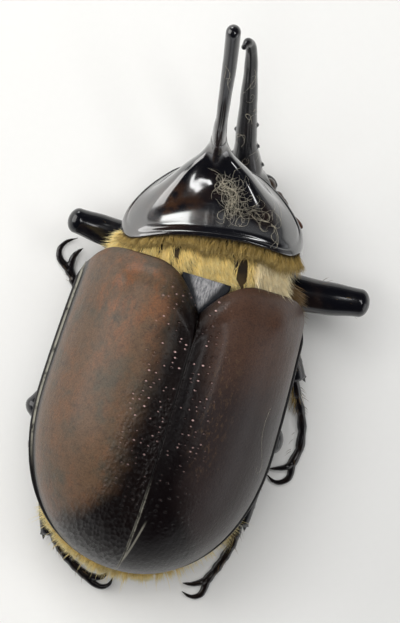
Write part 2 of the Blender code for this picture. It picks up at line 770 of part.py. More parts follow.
def leg_list():
    """The six legs in the photographed pose; hidden stretches follow the usual build of such beetles."""
    v = Vector
    return [
        Leg(
            "fore_left", on_prothorax(-2.3, 5.6, -9.9), v((-11.15, 13.2, 8.6)), v((-6.9, 12.6, 1.5)),
            [v((-6.4, 12.4, 1.1)), v((-4.9, 11.3, 0.55)), v((-3.9, 9.4, 0.5)), v((-3.6, 8.0, 0.5))],
            [[(-4.3, 7.2, 0.5), (-4.2, 6.2, 0.45)], [(-2.9, 7.2, 0.5), (-3.0, 6.3, 0.45)]],
            thigh=1.25, shin=1.0, teeth=3, tooth_side=-1.0,
        ),
        Leg(
            "fore_right", on_prothorax(2.3, 5.6, -9.9), v((13.9, 13.45, 8.0)), v((7.4, 12.6, 1.5)),
            [v((6.9, 12.3, 1.1)), v((5.4, 10.8, 0.55)), v((4.5, 8.9, 0.5)), v((4.3, 7.7, 0.5))],
            [[(3.6, 6.9, 0.5), (3.8, 5.9, 0.45)], [(5.0, 6.9, 0.5), (5.0, 6.0, 0.45)]],
            thigh=1.4, shin=1.0, teeth=3, tooth_side=1.0, bow=v((0.0, -0.7, 0.25)),
        ),
        Leg(
            "mid_left", v((-4.0, 5.2, 5.0)), v((-9.7, -3.0, 6.6)), v((-8.0, 5.2, 1.5)),
            [v((-7.9, 5.8, 1.2)), v((-8.5, 7.0, 0.8)), v((-9.35, 8.3, 0.6)), v((-10.1, 9.15, 0.5))],
            [[(-11.2, 9.8, 0.6), (-10.2, 11.8, 0.55)], [(-10.0, 10.3, 0.8), (-9.5, 11.2, 0.7)]],
            thigh=1.3, shin=0.75, tooth_side=-1.0,
        ),
        Leg(
            "mid_right", v((4.0, 5.2, 5.0)), v((8.1, 11.2, 6.0)), v((11.2, 5.9, 2.4)),
            [v((11.5, 4.9, 1.9)), v((12.8, 2.9, 1.0)), v((13.6, 0.4, 0.55)), v((13.3, -1.6, 0.5))],
            [[(12.9, -3.2, 0.55), (11.6, -2.9, 0.45)], [(12.6, -2.2, 0.9), (11.5, -2.1, 0.9)]],
            thigh=1.3, shin=0.75, tooth_side=1.0,
        ),
        Leg(
            "hind_left", v((-3.7, -1.6, 5.0)), v((-8.4, -6.2, 4.6)), v((-5.2, -12.7, 2.0)),
            [v((-4.7, -13.2, 1.7)), v((-3.7, -14.2, 0.9)), v((-2.2, -15.2, 0.55)), v((-0.9, -15.8, 0.5))],
            [[(0.5, -16.4, 0.6), (1.2, -15.3, 0.5)], [(0.1, -15.6, 0.9), (0.7, -14.8, 0.9)]],
            thigh=1.4, shin=0.8, tooth_side=-1.0,
        ),
        Leg(
            "hind_right", v((3.7, -1.6, 5.0)), v((10.6, 0.2, 5.0)), v((10.15, -7.35, 2.2)),
            [v((10.3, -8.2, 1.8)), v((10.25, -9.9, 1.0)), v((9.65, -12.0, 0.55)), v((9.1, -13.3, 0.5))],
            [[(8.5, -14.9, 0.6), (7.4, -14.8, 0.5)], [(8.3, -14.0, 0.9), (7.3, -14.0, 0.9)]],
            thigh=1.4, shin=0.8, tooth_side=1.0,
        ),
    ]


def coxa(leg, carrier):
    """The round first joint of a leg, let into the plate that carries it."""
    bm = ellipsoid(leg.hip, (1.9, 1.5, 1.35), 8, 12)
    obj = mesh_object("coxa_" + leg.name, bm, PARTS)
    clear_of(obj, *carrier)
    obj.data.materials.append(material(obj.name, BELLY_BROWN, 0.3))
    return obj


def femur(leg):
    """The thigh: a thick oval bar from coxa to knee."""
    size = leg.thigh
    bm = limb(
        [leg.hip, blend(leg.hip, leg.knee, 0.5) + leg.bow, leg.knee],
        [size * 0.8, size * 1.08, size * 0.8],
        [size * 0.7, size * 0.9, size * 0.72],
        (0, 0, 1),
        sides=10,
        per_span=3,
    )
    obj = mesh_object("femur_" + leg.name, bm, PARTS)
    clear_of(obj, leg.nodes["coxa"])
    obj.data.materials.append(material(obj.name, BLACK, 0.15))
    return obj


def tibia(leg):
    """The shin: it widens to the foot and carries teeth on its outer edge and spurs at its end."""
    along = (leg.ankle - leg.knee).normalized()
    middle = blend(leg.knee, leg.ankle, 0.5)
    up = Vector((0.0, 0.0, 1.0)) - along * along.z
    widths = [leg.shin * 0.62, leg.shin * 0.85, leg.shin * 1.1]
    heights = [leg.shin * 0.6, leg.shin * 0.7, leg.shin * 0.72]
    bm = limb([leg.knee, middle, leg.ankle], widths, heights, up, sides=8, per_span=2)
    obj = mesh_object("tibia_" + leg.name, bm, PARTS)
    across = along.cross(up).normalized()
    if across.x * leg.tooth_side < 0:
        across.negate()
    spikes = []
    for k in range(leg.teeth):
        start = blend(leg.knee, leg.ankle, 0.98 - 0.23 * k) + across * leg.shin * 0.35
        tip = start + across * leg.shin * (1.15 - 0.15 * k) + along * 0.45
        spikes.append((start, blend(start, tip, 0.5), tip))
    for side in (-1, 1):
        start = leg.ankle + across * side * leg.shin * 0.72 - along * 0.35
        spikes.append((start, start + along * 0.7 + across * side * 0.15, start + along * 1.5 + across * side * 0.6))
    pieces = []
    for start, middle, tip in spikes:
        pieces.append(mesh_object("spike", spike([start, middle, tip], [0.45, 0.34, 0.1], up), PARTS))
    fuse(obj, pieces)
    clear_of(obj, leg.nodes["femur"])
    obj.data.materials.append(material(obj.name, BLACK, 0.18))
    return obj


def tarsus(leg):
    """The foot: five small joints, each widest near its far end, and a pair of hooked claws."""
    path = [place for place, _ in smooth_points([leg.ankle, *leg.foot], 6)]
    lengths = [0.0]
    for a, b in zip(path, path[1:]):
        lengths.append(lengths[-1] + (b - a).length)
    places = []
    for joint in range(FOOT_JOINTS + 1):
        wanted = blend(FOOT_START, lengths[-1], joint / FOOT_JOINTS)
        i = min(max(k for k, length in enumerate(lengths) if length <= wanted), len(path) - 2)
        places.append(blend(path[i], path[i + 1], (wanted - lengths[i]) / (lengths[i + 1] - lengths[i])))
    joints = []
    for near, far in zip(places, places[1:]):
        along = (far - near).normalized()
        points = [near - along * 0.25, near + along * 0.2, blend(near, far, 0.78), far + along * 0.05]
        sizes = [0.28, 0.4, 0.52, 0.42]
        bm = limb(points, sizes, sizes, (0, 0, 1), sides=6, per_span=1, round_ends=(False, False))
        joints.append(mesh_object("joint", bm, PARTS))
    for middle, tip in leg.claws:
        hook = spike([places[-1] - along * 0.3, middle, tip], [0.34, 0.36, 0.1], (0, 0, 1), per_span=2)
        joints.append(mesh_object("claw", hook, PARTS))
    obj = joints.pop(0)
    obj.name = "tarsus_" + leg.name
    fuse(obj, joints)
    clear_of(obj, leg.nodes["tibia"])
    obj.data.materials.append(material(obj.name, BLACK, 0.2))
    return obj


def flatten_on_floor(obj, ground):
    """Cuts off what lies under the floor, so that a foot rests on small flats."""
    lowest = min((obj.matrix_world @ vert.co).z for vert in obj.data.vertices)
    if lowest < 0:
        cut(obj, ground)


def legs(prosternum_node, thorax_node, abdomen_node):
    """All six legs, each as coxa, femur, tibia and tarsus; gives the fore legs' upper nodes."""
    fore_nodes = []
    slab = bpy.data.meshes.new("ground")
    bm = bmesh.new()
    bmesh.ops.create_cube(bm, size=GROUND_SIDE * MM)
    bm.to_mesh(slab)
    bm.free()
    ground = new_cutter(slab, Matrix.Translation((0, 0, -GROUND_SIDE / 2 * MM)))
    for leg in leg_list():
        carrier = (prosternum_node,) if leg.name.startswith("fore") else (thorax_node, abdomen_node)
        leg.nodes["coxa"] = coxa(leg, carrier)
        leg.nodes["femur"] = femur(leg)
        clear_of(leg.nodes["femur"], *carrier)
        leg.nodes["tibia"] = tibia(leg)
        leg.nodes["tarsus"] = tarsus(leg)
        for node in leg.nodes.values():
            flatten_on_floor(node, ground)
        if leg.name.startswith("fore"):
            fore_nodes += [leg.nodes["coxa"], leg.nodes["femur"]]
    bpy.data.objects.remove(ground, do_unlink=True)
    return fore_nodes


def lock(root, direction, curl, length, flat, rng):
    """A flat tapered lock of hair that bends from its direction towards curl, with its flat side to flat."""
    points = [root]
    for step in range(3):
        heading = blend(direction, curl, step / 2).normalized()
        points.append(points[-1] + heading * length / 3)
    width = LOCK_HALF_WIDTH * rng.uniform(0.85, 1.15)
    widths = [width * 0.9, width, width * 0.75, 0.14]
    thickness = [LOCK_HALF_THICKNESS * size for size in (1.0, 1.0, 0.85, 0.35)]
    return limb(points, widths, thickness, flat, sides=4, per_span=1, round_ends=(False, False))


def hit(tree, start, towards):
    """Where a ray first meets the surface, with the surface's normal, in millimetres."""
    place, normal, _, _ = tree.ray_cast(start * MM, (towards - start).normalized())
    return (place / MM, normal) if place else (None, None)


def ruff(neck):
    """Dense locks round the neck that lie back from the shield to the base of the wing cases."""
    rng = random.Random(7)
    tree = BVHTree.FromObject(neck, bpy.context.evaluated_depsgraph_get())
    pieces = []
    for row in range(RUFF_ROWS):
        for k in range(RUFF_LOCKS_IN_ROW):
            share = (k + 0.5 * (row % 2) + rng.uniform(0.2, 0.8)) / RUFF_LOCKS_IN_ROW
            angle = math.radians(blend(-RUFF_REACH, RUFF_REACH, share))
            y = RUFF_FRONT_Y - RUFF_ROW_STEP * row + 0.1 * math.degrees(angle) / 9 + rng.uniform(-0.15, 0.15)
            axis = RUFF_AXIS + Vector((0, min(y, RUFF_FRONT_Y + 0.3), 0))
            outward = Vector((math.sin(angle), 0, math.cos(angle)))
            place, normal = hit(tree, axis + outward * 12, axis)
            if place is None:
                continue
            back = Vector((rng.uniform(-0.25, 0.25), -1, 0))
            direction = (back + normal * rng.uniform(0.35, 0.6)).normalized()
            curl = (back - normal * 0.1).normalized()
            length = RUFF_LOCK_LENGTH * rng.uniform(0.85, 1.15) * (1 - 0.12 * row)
            root = place - normal * LOCK_ROOT_DEPTH
            pieces.append(mesh_object("lock", lock(root, direction, curl, length, normal, rng), PARTS))
    fuse(neck, pieces)


def fringe(rear_nodes):
    """Locks along the hind edge of the abdomen that reach past the wing cases."""
    rng = random.Random(11)
    graph = bpy.context.evaluated_depsgraph_get()
    trees = [(node, BVHTree.FromObject(node, graph)) for node in rear_nodes]
    pieces = {node: [] for node in rear_nodes}
    for k in range(FRINGE_LOCKS):
        share = (k + rng.uniform(0.25, 0.75)) / FRINGE_LOCKS
        angle = math.radians(blend(-FRINGE_REACH, FRINGE_REACH, share))
        outward = Vector((math.sin(angle), -math.cos(angle), 0))
        centre = FRINGE_CENTRE + Vector((0, 0, rng.uniform(-0.5, 0.5)))
        found = []
        for node, tree in trees:
            place, _ = hit(tree, centre + outward * 20, centre)
            if place is not None:
                found.append(((place - centre).length, node, place))
        _, node, place = max(found, key=lambda entry: entry[0])
        if abs(place.y - ABDOMEN_REAR_Y) < FRINGE_PARTING:
            continue
        direction = (outward + Vector((0, -0.25, rng.uniform(-0.15, 0.0)))).normalized()
        curl = (outward + Vector((0, -0.5, rng.uniform(-0.6, -0.3)))).normalized()
        length = FRINGE_LOCK_LENGTH * rng.uniform(0.85, 1.15) * max(FRINGE_SHORTEST, 1 - share / 2)
        root = place - outward * LOCK_ROOT_DEPTH
        piece = lock(root, direction, curl, length, (0, 0, 1), rng)
        pieces[node].append(mesh_object("lock", piece, PARTS))
    for node in rear_nodes:
        fuse(node, pieces[node])


def centre_on_floor():
    """Parents every node to one empty, which moves the middle of the whole beetle over the origin."""
    corners = []
    for obj in PARTS.objects:
        corners += [obj.matrix_world @ vert.co for vert in obj.data.vertices]
    stand = bpy.data.objects.new("golofa_stand", None)
    bpy.context.scene.collection.objects.link(stand)
    for obj in PARTS.objects:
        obj.parent = stand
    for axis in (0, 1):
        reach = [corner[axis] for corner in corners]
        stand.location[axis] = -(min(reach) + max(reach)) / 2


def main():
    """Builds every node and stands the beetle on the middle of the floor."""
    cases = [wing_case("elytron_right", False), wing_case("elytron_left", True)]
    thorax, abdomen = trunk()
    tail_plate = pygidium()
    neck = mesothorax()
    shield = pronotum()
    pronotal_horn()
    chest = prosternum()
    shieldlet = scutellum()
    skull = head()
    horn = head_horn()
    clear_of(horn, skull)
    for eye in eyes():
        clear_of(skull, eye)
    feelers = [antenna("antenna_left", -1), antenna("antenna_right", 1)]
    for node in feelers + mouthparts():
        clear_of(node, skull)
    clear_of(skull, shield, chest)
    fore_nodes = legs(chest, thorax, abdomen)
    ruff(neck)
    clear_of(neck, shield, chest, shieldlet, *cases, *fore_nodes)
    fringe([abdomen, tail_plate])
    clear_of(tail_plate, *cases)
    clear_of(abdomen, *cases, tail_plate)
    centre_on_floor()


clear_scene()
PARTS = new_collection("golofa_beetle")
CUTTERS = new_collection("cutters")
main()
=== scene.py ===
"""Golofa beetle, dressed: fine shells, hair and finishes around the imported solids.

Sizes are millimetres in the beetle's own frame until a mesh is stored: the wing cases meet on x = 0,
+Y points to the head, +X is the beetle's right, +Z is up and the floor is z = 0.
"""

import logging
import math
import random
from collections.abc import Callable, Sequence
from dataclasses import dataclass, field
from enum import Enum

import bmesh
import bpy
import numpy as np
from mathutils import Euler, Matrix, Vector
from mathutils.bvhtree import BVHTree


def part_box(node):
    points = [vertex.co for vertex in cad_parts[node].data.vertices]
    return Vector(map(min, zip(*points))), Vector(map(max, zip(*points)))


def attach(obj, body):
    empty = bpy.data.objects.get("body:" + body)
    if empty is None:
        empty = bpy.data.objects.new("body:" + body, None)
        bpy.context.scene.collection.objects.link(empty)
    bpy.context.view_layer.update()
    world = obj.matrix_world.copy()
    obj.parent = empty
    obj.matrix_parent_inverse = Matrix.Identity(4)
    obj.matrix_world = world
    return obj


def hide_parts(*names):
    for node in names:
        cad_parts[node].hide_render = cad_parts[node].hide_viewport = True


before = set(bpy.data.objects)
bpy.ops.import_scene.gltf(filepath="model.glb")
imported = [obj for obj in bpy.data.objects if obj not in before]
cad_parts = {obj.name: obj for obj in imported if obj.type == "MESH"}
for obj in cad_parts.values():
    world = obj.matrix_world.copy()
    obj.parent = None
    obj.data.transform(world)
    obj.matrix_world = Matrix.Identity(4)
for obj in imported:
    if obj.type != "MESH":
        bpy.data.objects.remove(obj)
LOG = logging.getLogger("golofa")
MM = 0.001
UP = (0, 0, 1)
SIDES = (("left", -1), ("right", 1))
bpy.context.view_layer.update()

# The wing cases seen from above: their ends, where they are widest, and how round and narrow they are.
APEX_Y = -13.944
PLAN_END_Y = -13.95
BASE_Y = 12.1
WIDEST_Y = -1.0
HALF_WIDTH = 10.0
PLAN_POWER = 2.15
NARROWING, NARROWING_POWER = 0.06, 1.6


def body_shift() -> Vector:
    """Where the beetle's own frame has its origin, in metres of the row frame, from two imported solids."""
    left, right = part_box("elytron_left"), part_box("elytron_right")
    return Vector(((left[1].x + right[0].x) / 2, left[0].y - APEX_Y * MM, 0.0))


SHIFT = body_shift()


def blend(a, b, t: float):
    """Straight blend from a to b, of numbers or vectors."""
    return a + (b - a) * t


def ease(value: float, low: float, high: float) -> float:
    """Smooth step of value from 0 at low to 1 at high."""
    t = min(1.0, max(0.0, (value - low) / (high - low)))
    return t * t * (3 - 2 * t)


def signed_power(value: float, power: float) -> float:
    """Keeps the sign of value and raises its size to power."""
    return math.copysign(abs(value) ** power, value)


def bell(offset: float, width: float) -> float:
    """1 where offset is 0, falling off to both sides over width."""
    return math.exp(-((offset / width) ** 2))


def curve(a, b, c, d, t: float):
    """Point between b and c of a smooth curve that also runs through a and d."""
    return (b * 2 + (c - a) * t + (a * 2 - b * 5 + c * 4 - d) * t * t + (b * 3 - a - c * 3 + d) * t**3) / 2


def turned(x: float = 0.0, y: float = 0.0, z: float = 0.0) -> Matrix:
    """Rotation by three angles in degrees."""
    return Euler([math.radians(angle) for angle in (x, y, z)], "XYZ").to_matrix().to_4x4()


class Value:
    """A number on a node's socket that takes part in sums."""

    def __init__(self, graph: "Graph", socket: bpy.types.NodeSocket) -> None:
        """Wraps one output socket of a graph."""
        self.graph = graph
        self.socket = socket

    def math(self, operation: str, *others: "Value | float") -> "Value":
        """One Math node with this value first."""
        return self.graph.node("ShaderNodeMath", {"operation": operation}, dict(enumerate((self, *others))))

    def __add__(self, other: "Value | float") -> "Value":
        """Sum."""
        return self.math("ADD", other)

    def __mul__(self, other: "Value | float") -> "Value":
        """Product."""
        return self.math("MULTIPLY", other)

    def __sub__(self, other: "Value | float") -> "Value":
        """Difference."""
        return self.math("SUBTRACT", other)

    def __rsub__(self, other: float) -> "Value":
        """Number less this value."""
        return self.math("MULTIPLY_ADD", -1.0, other)

    def size(self) -> "Value":
        """The value without its sign."""
        return self.math("ABSOLUTE")

    def step(self, low: float, high: float, smooth: bool = True) -> "Value":
        """0 below low, 1 above high; low may be the larger one.

        Args:
            low: value that gives 0.
            high: value that gives 1.
            smooth: whether the ends are eased.

        Returns:
            The stepped value.
        """
        kind = "SMOOTHSTEP" if smooth else "LINEAR"
        first, last = (0.0, 1.0) if low < high else (1.0, 0.0)
        sockets = {0: self, 1: min(low, high), 2: max(low, high), 3: first, 4: last}
        return self.graph.node("ShaderNodeMapRange", {"interpolation_type": kind}, sockets)


Colour = tuple[float, float, float]


class Graph:
    """The node tree of one material or of the surround."""

    def __init__(self, owner: bpy.types.ID, shader: str = "Principled BSDF") -> None:
        """Starts the tree.

        Args:
            owner: the new material or surround.
            shader: the node whose sockets are set at the end.
        """
        self.owner = owner
        self.owner.use_nodes = True
        self.tree = self.owner.node_tree
        self.shader = self.tree.nodes[shader]

    def feed(self, node: bpy.types.Node, sockets: dict) -> None:
        """Links or sets inputs of a node, by index or name."""
        for name, value in sockets.items():
            socket = node.inputs[name]
            if isinstance(value, Value):
                self.tree.links.new(value.socket, socket)
            else:
                socket.default_value = (*value, 1.0) if socket.type == "RGBA" else value

    def node(self, kind: str, settings: dict, sockets: dict, output: int | str = 0) -> Value:
        """Adds one node.

        Args:
            kind: the node's type name.
            settings: properties of the node.
            sockets: values or links, by socket index or name.
            output: index or name of the output to give back.

        Returns:
            The chosen output.
        """
        made = self.tree.nodes.new(kind)
        for name, setting in settings.items():
            setattr(made, name, setting)
        self.feed(made, sockets)
        return Value(self, made.outputs[output])

    def place(self) -> Value:
        """Position on the piece, in millimetres of the beetle's own frame."""
        coordinates = self.node("ShaderNodeTexCoord", {}, {}, "Object")
        moved = tuple(-part / MM for part in SHIFT)
        scale = (1 / MM, 1 / MM, 1 / MM)
        return self.node("ShaderNodeMapping", {}, {"Vector": coordinates, "Location": moved, "Scale": scale})

    def axes(self, place: Value) -> tuple[Value, Value, Value]:
        """The three parts of a position."""
        split = self.node("ShaderNodeSeparateXYZ", {}, {0: place})
        node = split.socket.node
        return tuple(Value(self, node.outputs[i]) for i in range(3))

    def noise(self, place: Value, scale: float, detail: float = 3.0, rough: float = 0.5) -> Value:
        """Cloudy noise from 0 to 1; scale is its cells in a millimetre."""
        sockets = {"Vector": place, "Scale": scale, "Detail": detail, "Roughness": rough}
        return self.node("ShaderNodeTexNoise", {}, sockets)

    def cells(self, place: Value, scale: float, randomness: float = 1.0) -> Value:
        """Distance to the nearest of scattered points, in cells."""
        sockets = {"Vector": place, "Scale": scale, "Randomness": randomness}
        return self.node("ShaderNodeTexVoronoi", {}, sockets, "Distance")

    def stretched(self, place: Value, scale: Colour) -> Value:
        """The position scaled by a different number on each axis."""
        return self.node("ShaderNodeMapping", {}, {"Vector": place, "Scale": scale})

    def mix(self, factor: Value | float, a: Value | Colour, b: Value | Colour) -> Value:
        """Colour from a, where factor is 0, to b, where it is 1."""
        return self.node("ShaderNodeMix", {"data_type": "RGBA"}, {0: factor, 6: a, 7: b}, 2)

    def bump(self, height: Value, distance: float, strength: float) -> Value:
        """A normal from a height, which is in units of the given distance in millimetres."""
        sockets = {"Height": height, "Distance": distance * MM, "Strength": strength}
        return self.node("ShaderNodeBump", {}, sockets)

    def attribute(self, name: str) -> Value:
        """A number stored at the points of the mesh."""
        return self.node("ShaderNodeAttribute", {"attribute_name": name}, {}, "Fac")

    def near(self, place: Value, centre: Colour, reach: float) -> Value:
        """1 at the centre, falling to 0 at the reach."""
        away = self.node("ShaderNodeVectorMath", {"operation": "DISTANCE"}, {0: place, 1: centre}, "Value")
        return away.step(reach, 0.0)

    def finish(self, sockets: dict) -> bpy.types.ID:
        """Sets the shader's sockets and gives the tree's owner."""
        self.feed(self.shader, sockets)
        return self.owner


@dataclass(frozen=True)
class Surface:
    """A named look whose shader inputs are worked out by each kind."""

    name: str

    def sockets(self, graph: Graph, place: Value) -> dict:
        """The shader's inputs, from the position on the piece."""
        raise NotImplementedError

    def material(self) -> bpy.types.Material:
        """The material, made once."""
        found = bpy.data.materials.get(self.name)
        if found:
            return found
        graph = Graph(bpy.data.materials.new(self.name))
        return graph.finish(self.sockets(graph, graph.place()))


@dataclass(frozen=True)
class ShellFinish(Surface):
    """Glossy near-black shell with fine pits, faint scratches and dust."""

    name: str = "shell_black_gloss"
    dark: Colour = (0.0035, 0.0035, 0.0055)
    warm: Colour = (0.045, 0.020, 0.009)
    dust_and_highlight: Colour = (0.34, 0.30, 0.24)
    gloss: float = 0.17
    pits: float = 0.5
    dust_share: float = 0.6
    haze: float = 0.22
    ior: float = 1.75
    coat: float = 1.0
    coat_ior: float = 1.95
    warm_at: Colour = (-4.4, 16.6, 15.0)
    warm_reach: float = 3.4

    def sockets(self, graph: Graph, place: Value) -> dict:
        """The shader's inputs, from the position on the piece."""
        clouds = graph.noise(place, 0.35, 4.0)
        # A warm brown patch on the left of the disc, broken up by noise.
        warm_patch = graph.near(place, self.warm_at, self.warm_reach)
        warm_patch = warm_patch * graph.noise(place, 0.9, 4.0).step(0.38, 0.6)
        colour = graph.mix(clouds.step(0.5, 0.78) * 0.35 + warm_patch * 0.9, self.dark, self.warm)
        fine = graph.noise(place, 9.0, 2.0)
        pit = graph.cells(place, 3.4).step(0.16, 0.05) * graph.noise(place, 0.8).step(0.35, 0.6) * self.pits
        patch = graph.noise(place, 0.7, 5.0, 0.7).step(0.52, 0.72)
        specks = graph.cells(place, 1.9).step(0.085, 0.05) * patch
        film = patch * graph.noise(place, 16.0, 2.0).step(0.45, 0.8)
        grime = (film * 0.16 + specks * 0.55) * self.dust_share
        colour = graph.mix(grime, colour, self.dust_and_highlight)
        rough = clouds * 0.06 + fine * 0.05 + grime * 0.6 + (self.gloss - 0.03)
        _, ahead, _ = graph.axes(place)
        coat = ahead.step(24.5, 22.5) * (self.coat - 0.15) + 0.15
        scratch = graph.noise(graph.stretched(place, (0.5, 6.0, 6.0)), 1.4, 3.0)
        height = fine * 0.06 + scratch * 0.08 - pit
        return {
            "Base Color": colour,
            "Roughness": rough,
            "Normal": graph.bump(height, 0.022, 0.8),
            "IOR": self.ior,
            "Coat Weight": coat,
            "Coat IOR": self.coat_ior,
            "Coat Roughness": 0.10,
            "Sheen Weight": self.haze,
            "Sheen Roughness": 0.35,
        }


@dataclass(frozen=True)
class WingCaseFinish(Surface):
    """Satin red-brown case: a dark pitted band by the seam, soft wrinkles and a pale line by the rim, which
    is a painted highlight, with painted glints on the pits, painted highlight streaks along the seam and
    painted shade on the right case and the rear.
    """

    name: str = "wing_case_satin"
    brown: Colour = (0.110, 0.066, 0.038)
    rust: Colour = (0.185, 0.074, 0.030)
    olive: Colour = (0.064, 0.058, 0.042)
    violet: Colour = (0.027, 0.018, 0.017)
    umber: Colour = (0.074, 0.038, 0.025)
    dark: Colour = (0.013, 0.010, 0.011)
    band: Colour = (0.0022, 0.0010, 0.0013)
    # Colour of the painted glints on the pits by the seam.
    painted_glint: Colour = (0.50, 0.33, 0.31)
    # Pale colour of the painted highlights by the left rim and along the seam.
    dust_and_highlight: Colour = (0.40, 0.38, 0.31)

    def colour(self, graph: Graph, place: Value) -> Value:
        """Brown with rust and olive clouds on the left, umber and violet on the right, dark to the rear; the
        darker right and rear are painted shade.
        """
        x, y, _ = graph.axes(place)
        shoulder = graph.near(place, (-5.6, 9.0, 17.2), 6.5)
        left = graph.mix(graph.noise(place, 0.36, 6.0, 0.7).step(0.44, 0.66) * 0.75, self.brown, self.olive)
        rusty = graph.noise(graph.stretched(place, (1.0, 0.6, 1.0)), 0.42, 5.0, 0.65).step(0.47, 0.64)
        left = graph.mix(rusty * (shoulder * 0.7 + 0.35), left, self.rust)
        right = graph.mix((y + graph.noise(place, 0.4) * 4.0).step(3.0, 9.0), self.violet, self.umber)
        streaks = graph.noise(graph.stretched(place, (2.6, 1.0, 1.0)), 1.5, 4.0, 0.7).step(0.5, 0.7)
        beside = x.step(1.2, 2.6) * x.step(6.0, 3.5) * y.step(9.0, 6.0) * y.step(-6.0, -2.0)
        right = graph.mix(streaks * beside * 0.8, right, self.brown)
        # The right case is darker than the left: painted shade of the side turned away from the main light.
        base = graph.mix(x.step(-0.6, 0.6), left, right)
        # Darker towards the rear: painted shade where the cases curve down away from the lights.
        base = graph.mix((y + graph.noise(place, 0.5) * 3.0).step(-7.0, -13.0) * 0.75, base, self.dark)
        base = graph.mix(graph.noise(place, 1.6, 5.0, 0.65).step(0.45, 0.75) * 0.35, base, self.dark)
        return graph.mix(graph.noise(place, 7.0, 5.0, 0.8).step(0.42, 0.66) * 0.5, base, self.dark)

    def inside(self, x: Value, y: Value) -> Value:
        """Distance inward from the margin, seen from above."""
        back, ahead = y.step(WIDEST_Y, PLAN_END_Y, False), y.step(WIDEST_Y, BASE_Y, False)
        width = (1.0 - back.math("POWER", PLAN_POWER)).math("POWER", 1 / PLAN_POWER) * HALF_WIDTH
        return width - ahead.math("POWER", NARROWING_POWER) * (NARROWING * HALF_WIDTH) - x.size()

    def sockets(self, graph: Graph, place: Value) -> dict:
        """The shader's inputs, from the position on the piece."""
        x, y, _ = graph.axes(place)
        side = x.size()
        leftward = x.step(0.1, -0.1)
        wobble = graph.noise(place, 0.5, 4.0, 0.6) - 0.5
        reach = y * -0.115 + 1.75 + leftward * (y * 0.07 + 0.45) + y.step(-6.5, -12.5) * 3.0 + wobble * 1.8
        seam = (side - reach).step(2.3, -0.9)
        near_seam = (side - reach).step(2.2, 0.2)
        base = graph.mix(seam * 0.98, self.colour(graph, place), self.band)
        inside = self.inside(x, y)
        base = graph.mix(inside.step(0.16, 0.02), base, self.band)
        # A pale line just inside the left rim, towards the front: a painted highlight.
        line = inside.step(-0.24, -0.16) * inside.step(0.0, -0.08) * leftward * y.step(-8.0, -4.0)
        base = graph.mix(line * graph.noise(place, 1.4).step(0.25, 0.5) * 0.6, base, self.dust_and_highlight)
        rows = graph.cells(graph.stretched(place, (1.7, 2.4, 0.0)), 1.0, 0.4)
        # Pinkish dots in rows by the seam: painted glints on the rims of the pits.
        glint_dots = rows.step(0.24, 0.1) * near_seam * y.step(-9.0, 3.0) * side.step(0.2, 0.5)
        base = graph.mix(glint_dots * graph.noise(place, 2.6, 4.0).step(0.42, 0.62), base, self.painted_glint)
        # Pale streaks along the seam near the rear, and a second slanting one: painted highlights.
        seam_highlight = side.step(0.16, 0.06) * y.step(-5.0, -9.0) * graph.noise(place, 2.0).step(0.3, 0.5)
        fork = (x - y * 0.17 - 2.25).size().step(0.12, 0.04) * y.step(-13.0, -12.2) * y.step(-8.8, -9.8)
        base = graph.mix((seam_highlight + fork) * 0.45, base, self.dust_and_highlight)
        wrinkle = graph.noise(graph.stretched(place, (1.0, 0.45, 1.0)), 1.3, 4.0, 0.6)
        grain = graph.noise(place, 5.0, 4.0, 0.6)
        leather = graph.cells(graph.stretched(place, (1.6, 1.0, 0.0)), 2.2)
        inner = near_seam * leftward * y.step(4.0, -1.0)
        pits = rows.step(0.1, 0.36) * near_seam * y.step(-11.0, -7.0)
        height = wrinkle * 0.6 + grain * 0.5 + leather * (inner * 1.6 + near_seam * 0.5) + pits * 1.3
        return {
            "Base Color": base,
            "Roughness": grain * 0.18 + wrinkle * 0.1 + 0.26,
            "Normal": graph.bump(height, 0.06, 0.9),
            "Specular IOR Level": 0.24,
            "Coat Weight": 0.12,
            "Coat Roughness": 0.2,
        }


@dataclass(frozen=True)
class StreakFinish(Surface):
    """Blue-grey plate with fine pale streaks that run to the rear."""

    name: str = "small_shield_streaks"
    dark: Colour = (0.065, 0.070, 0.080)
    pale: Colour = (0.40, 0.39, 0.39)
    edge: Colour = (0.006, 0.007, 0.010)

    def sockets(self, graph: Graph, place: Value) -> dict:
        """The shader's inputs, from the position on the piece."""
        x, y, _ = graph.axes(place)
        streak = graph.noise(graph.stretched(place, (3.4, 0.8, 1.5)), 2.6, 5.0, 0.7)
        colour = graph.mix(streak.step(0.3, 0.72), self.dark, self.pale)
        inside = (y - 8.4) * 0.58 - x.size() + graph.noise(place, 1.2) * 0.4
        colour = graph.mix(inside.step(0.95, 0.35), colour, self.edge)
        normal = graph.bump(streak, 0.06, 0.8)
        return {"Base Color": colour, "Roughness": streak * 0.25 + 0.25, "Normal": normal}


@dataclass(frozen=True)
class SatinFinish(Surface):
    """Satin brown or black shell with fine grain, for the underside and small joints."""

    dark: Colour
    warm: Colour
    rough: float = 0.3
    grain: float = 6.0
    coat: float = 0.2

    def sockets(self, graph: Graph, place: Value) -> dict:
        """The shader's inputs, from the position on the piece."""
        clouds = graph.noise(place, 0.6, 4.0)
        colour = graph.mix(clouds.step(0.4, 0.65), self.dark, self.warm)
        grain = graph.noise(place, self.grain, 3.0)
        pit = graph.cells(place, self.grain * 0.5).step(0.24, 0.1)
        normal = graph.bump(grain * 0.4 - pit * 0.6, 0.03, 0.7)
        rough = grain * 0.15 + (self.rough - 0.05)
        return {"Base Color": colour, "Roughness": rough, "Normal": normal, "Coat Weight": self.coat}


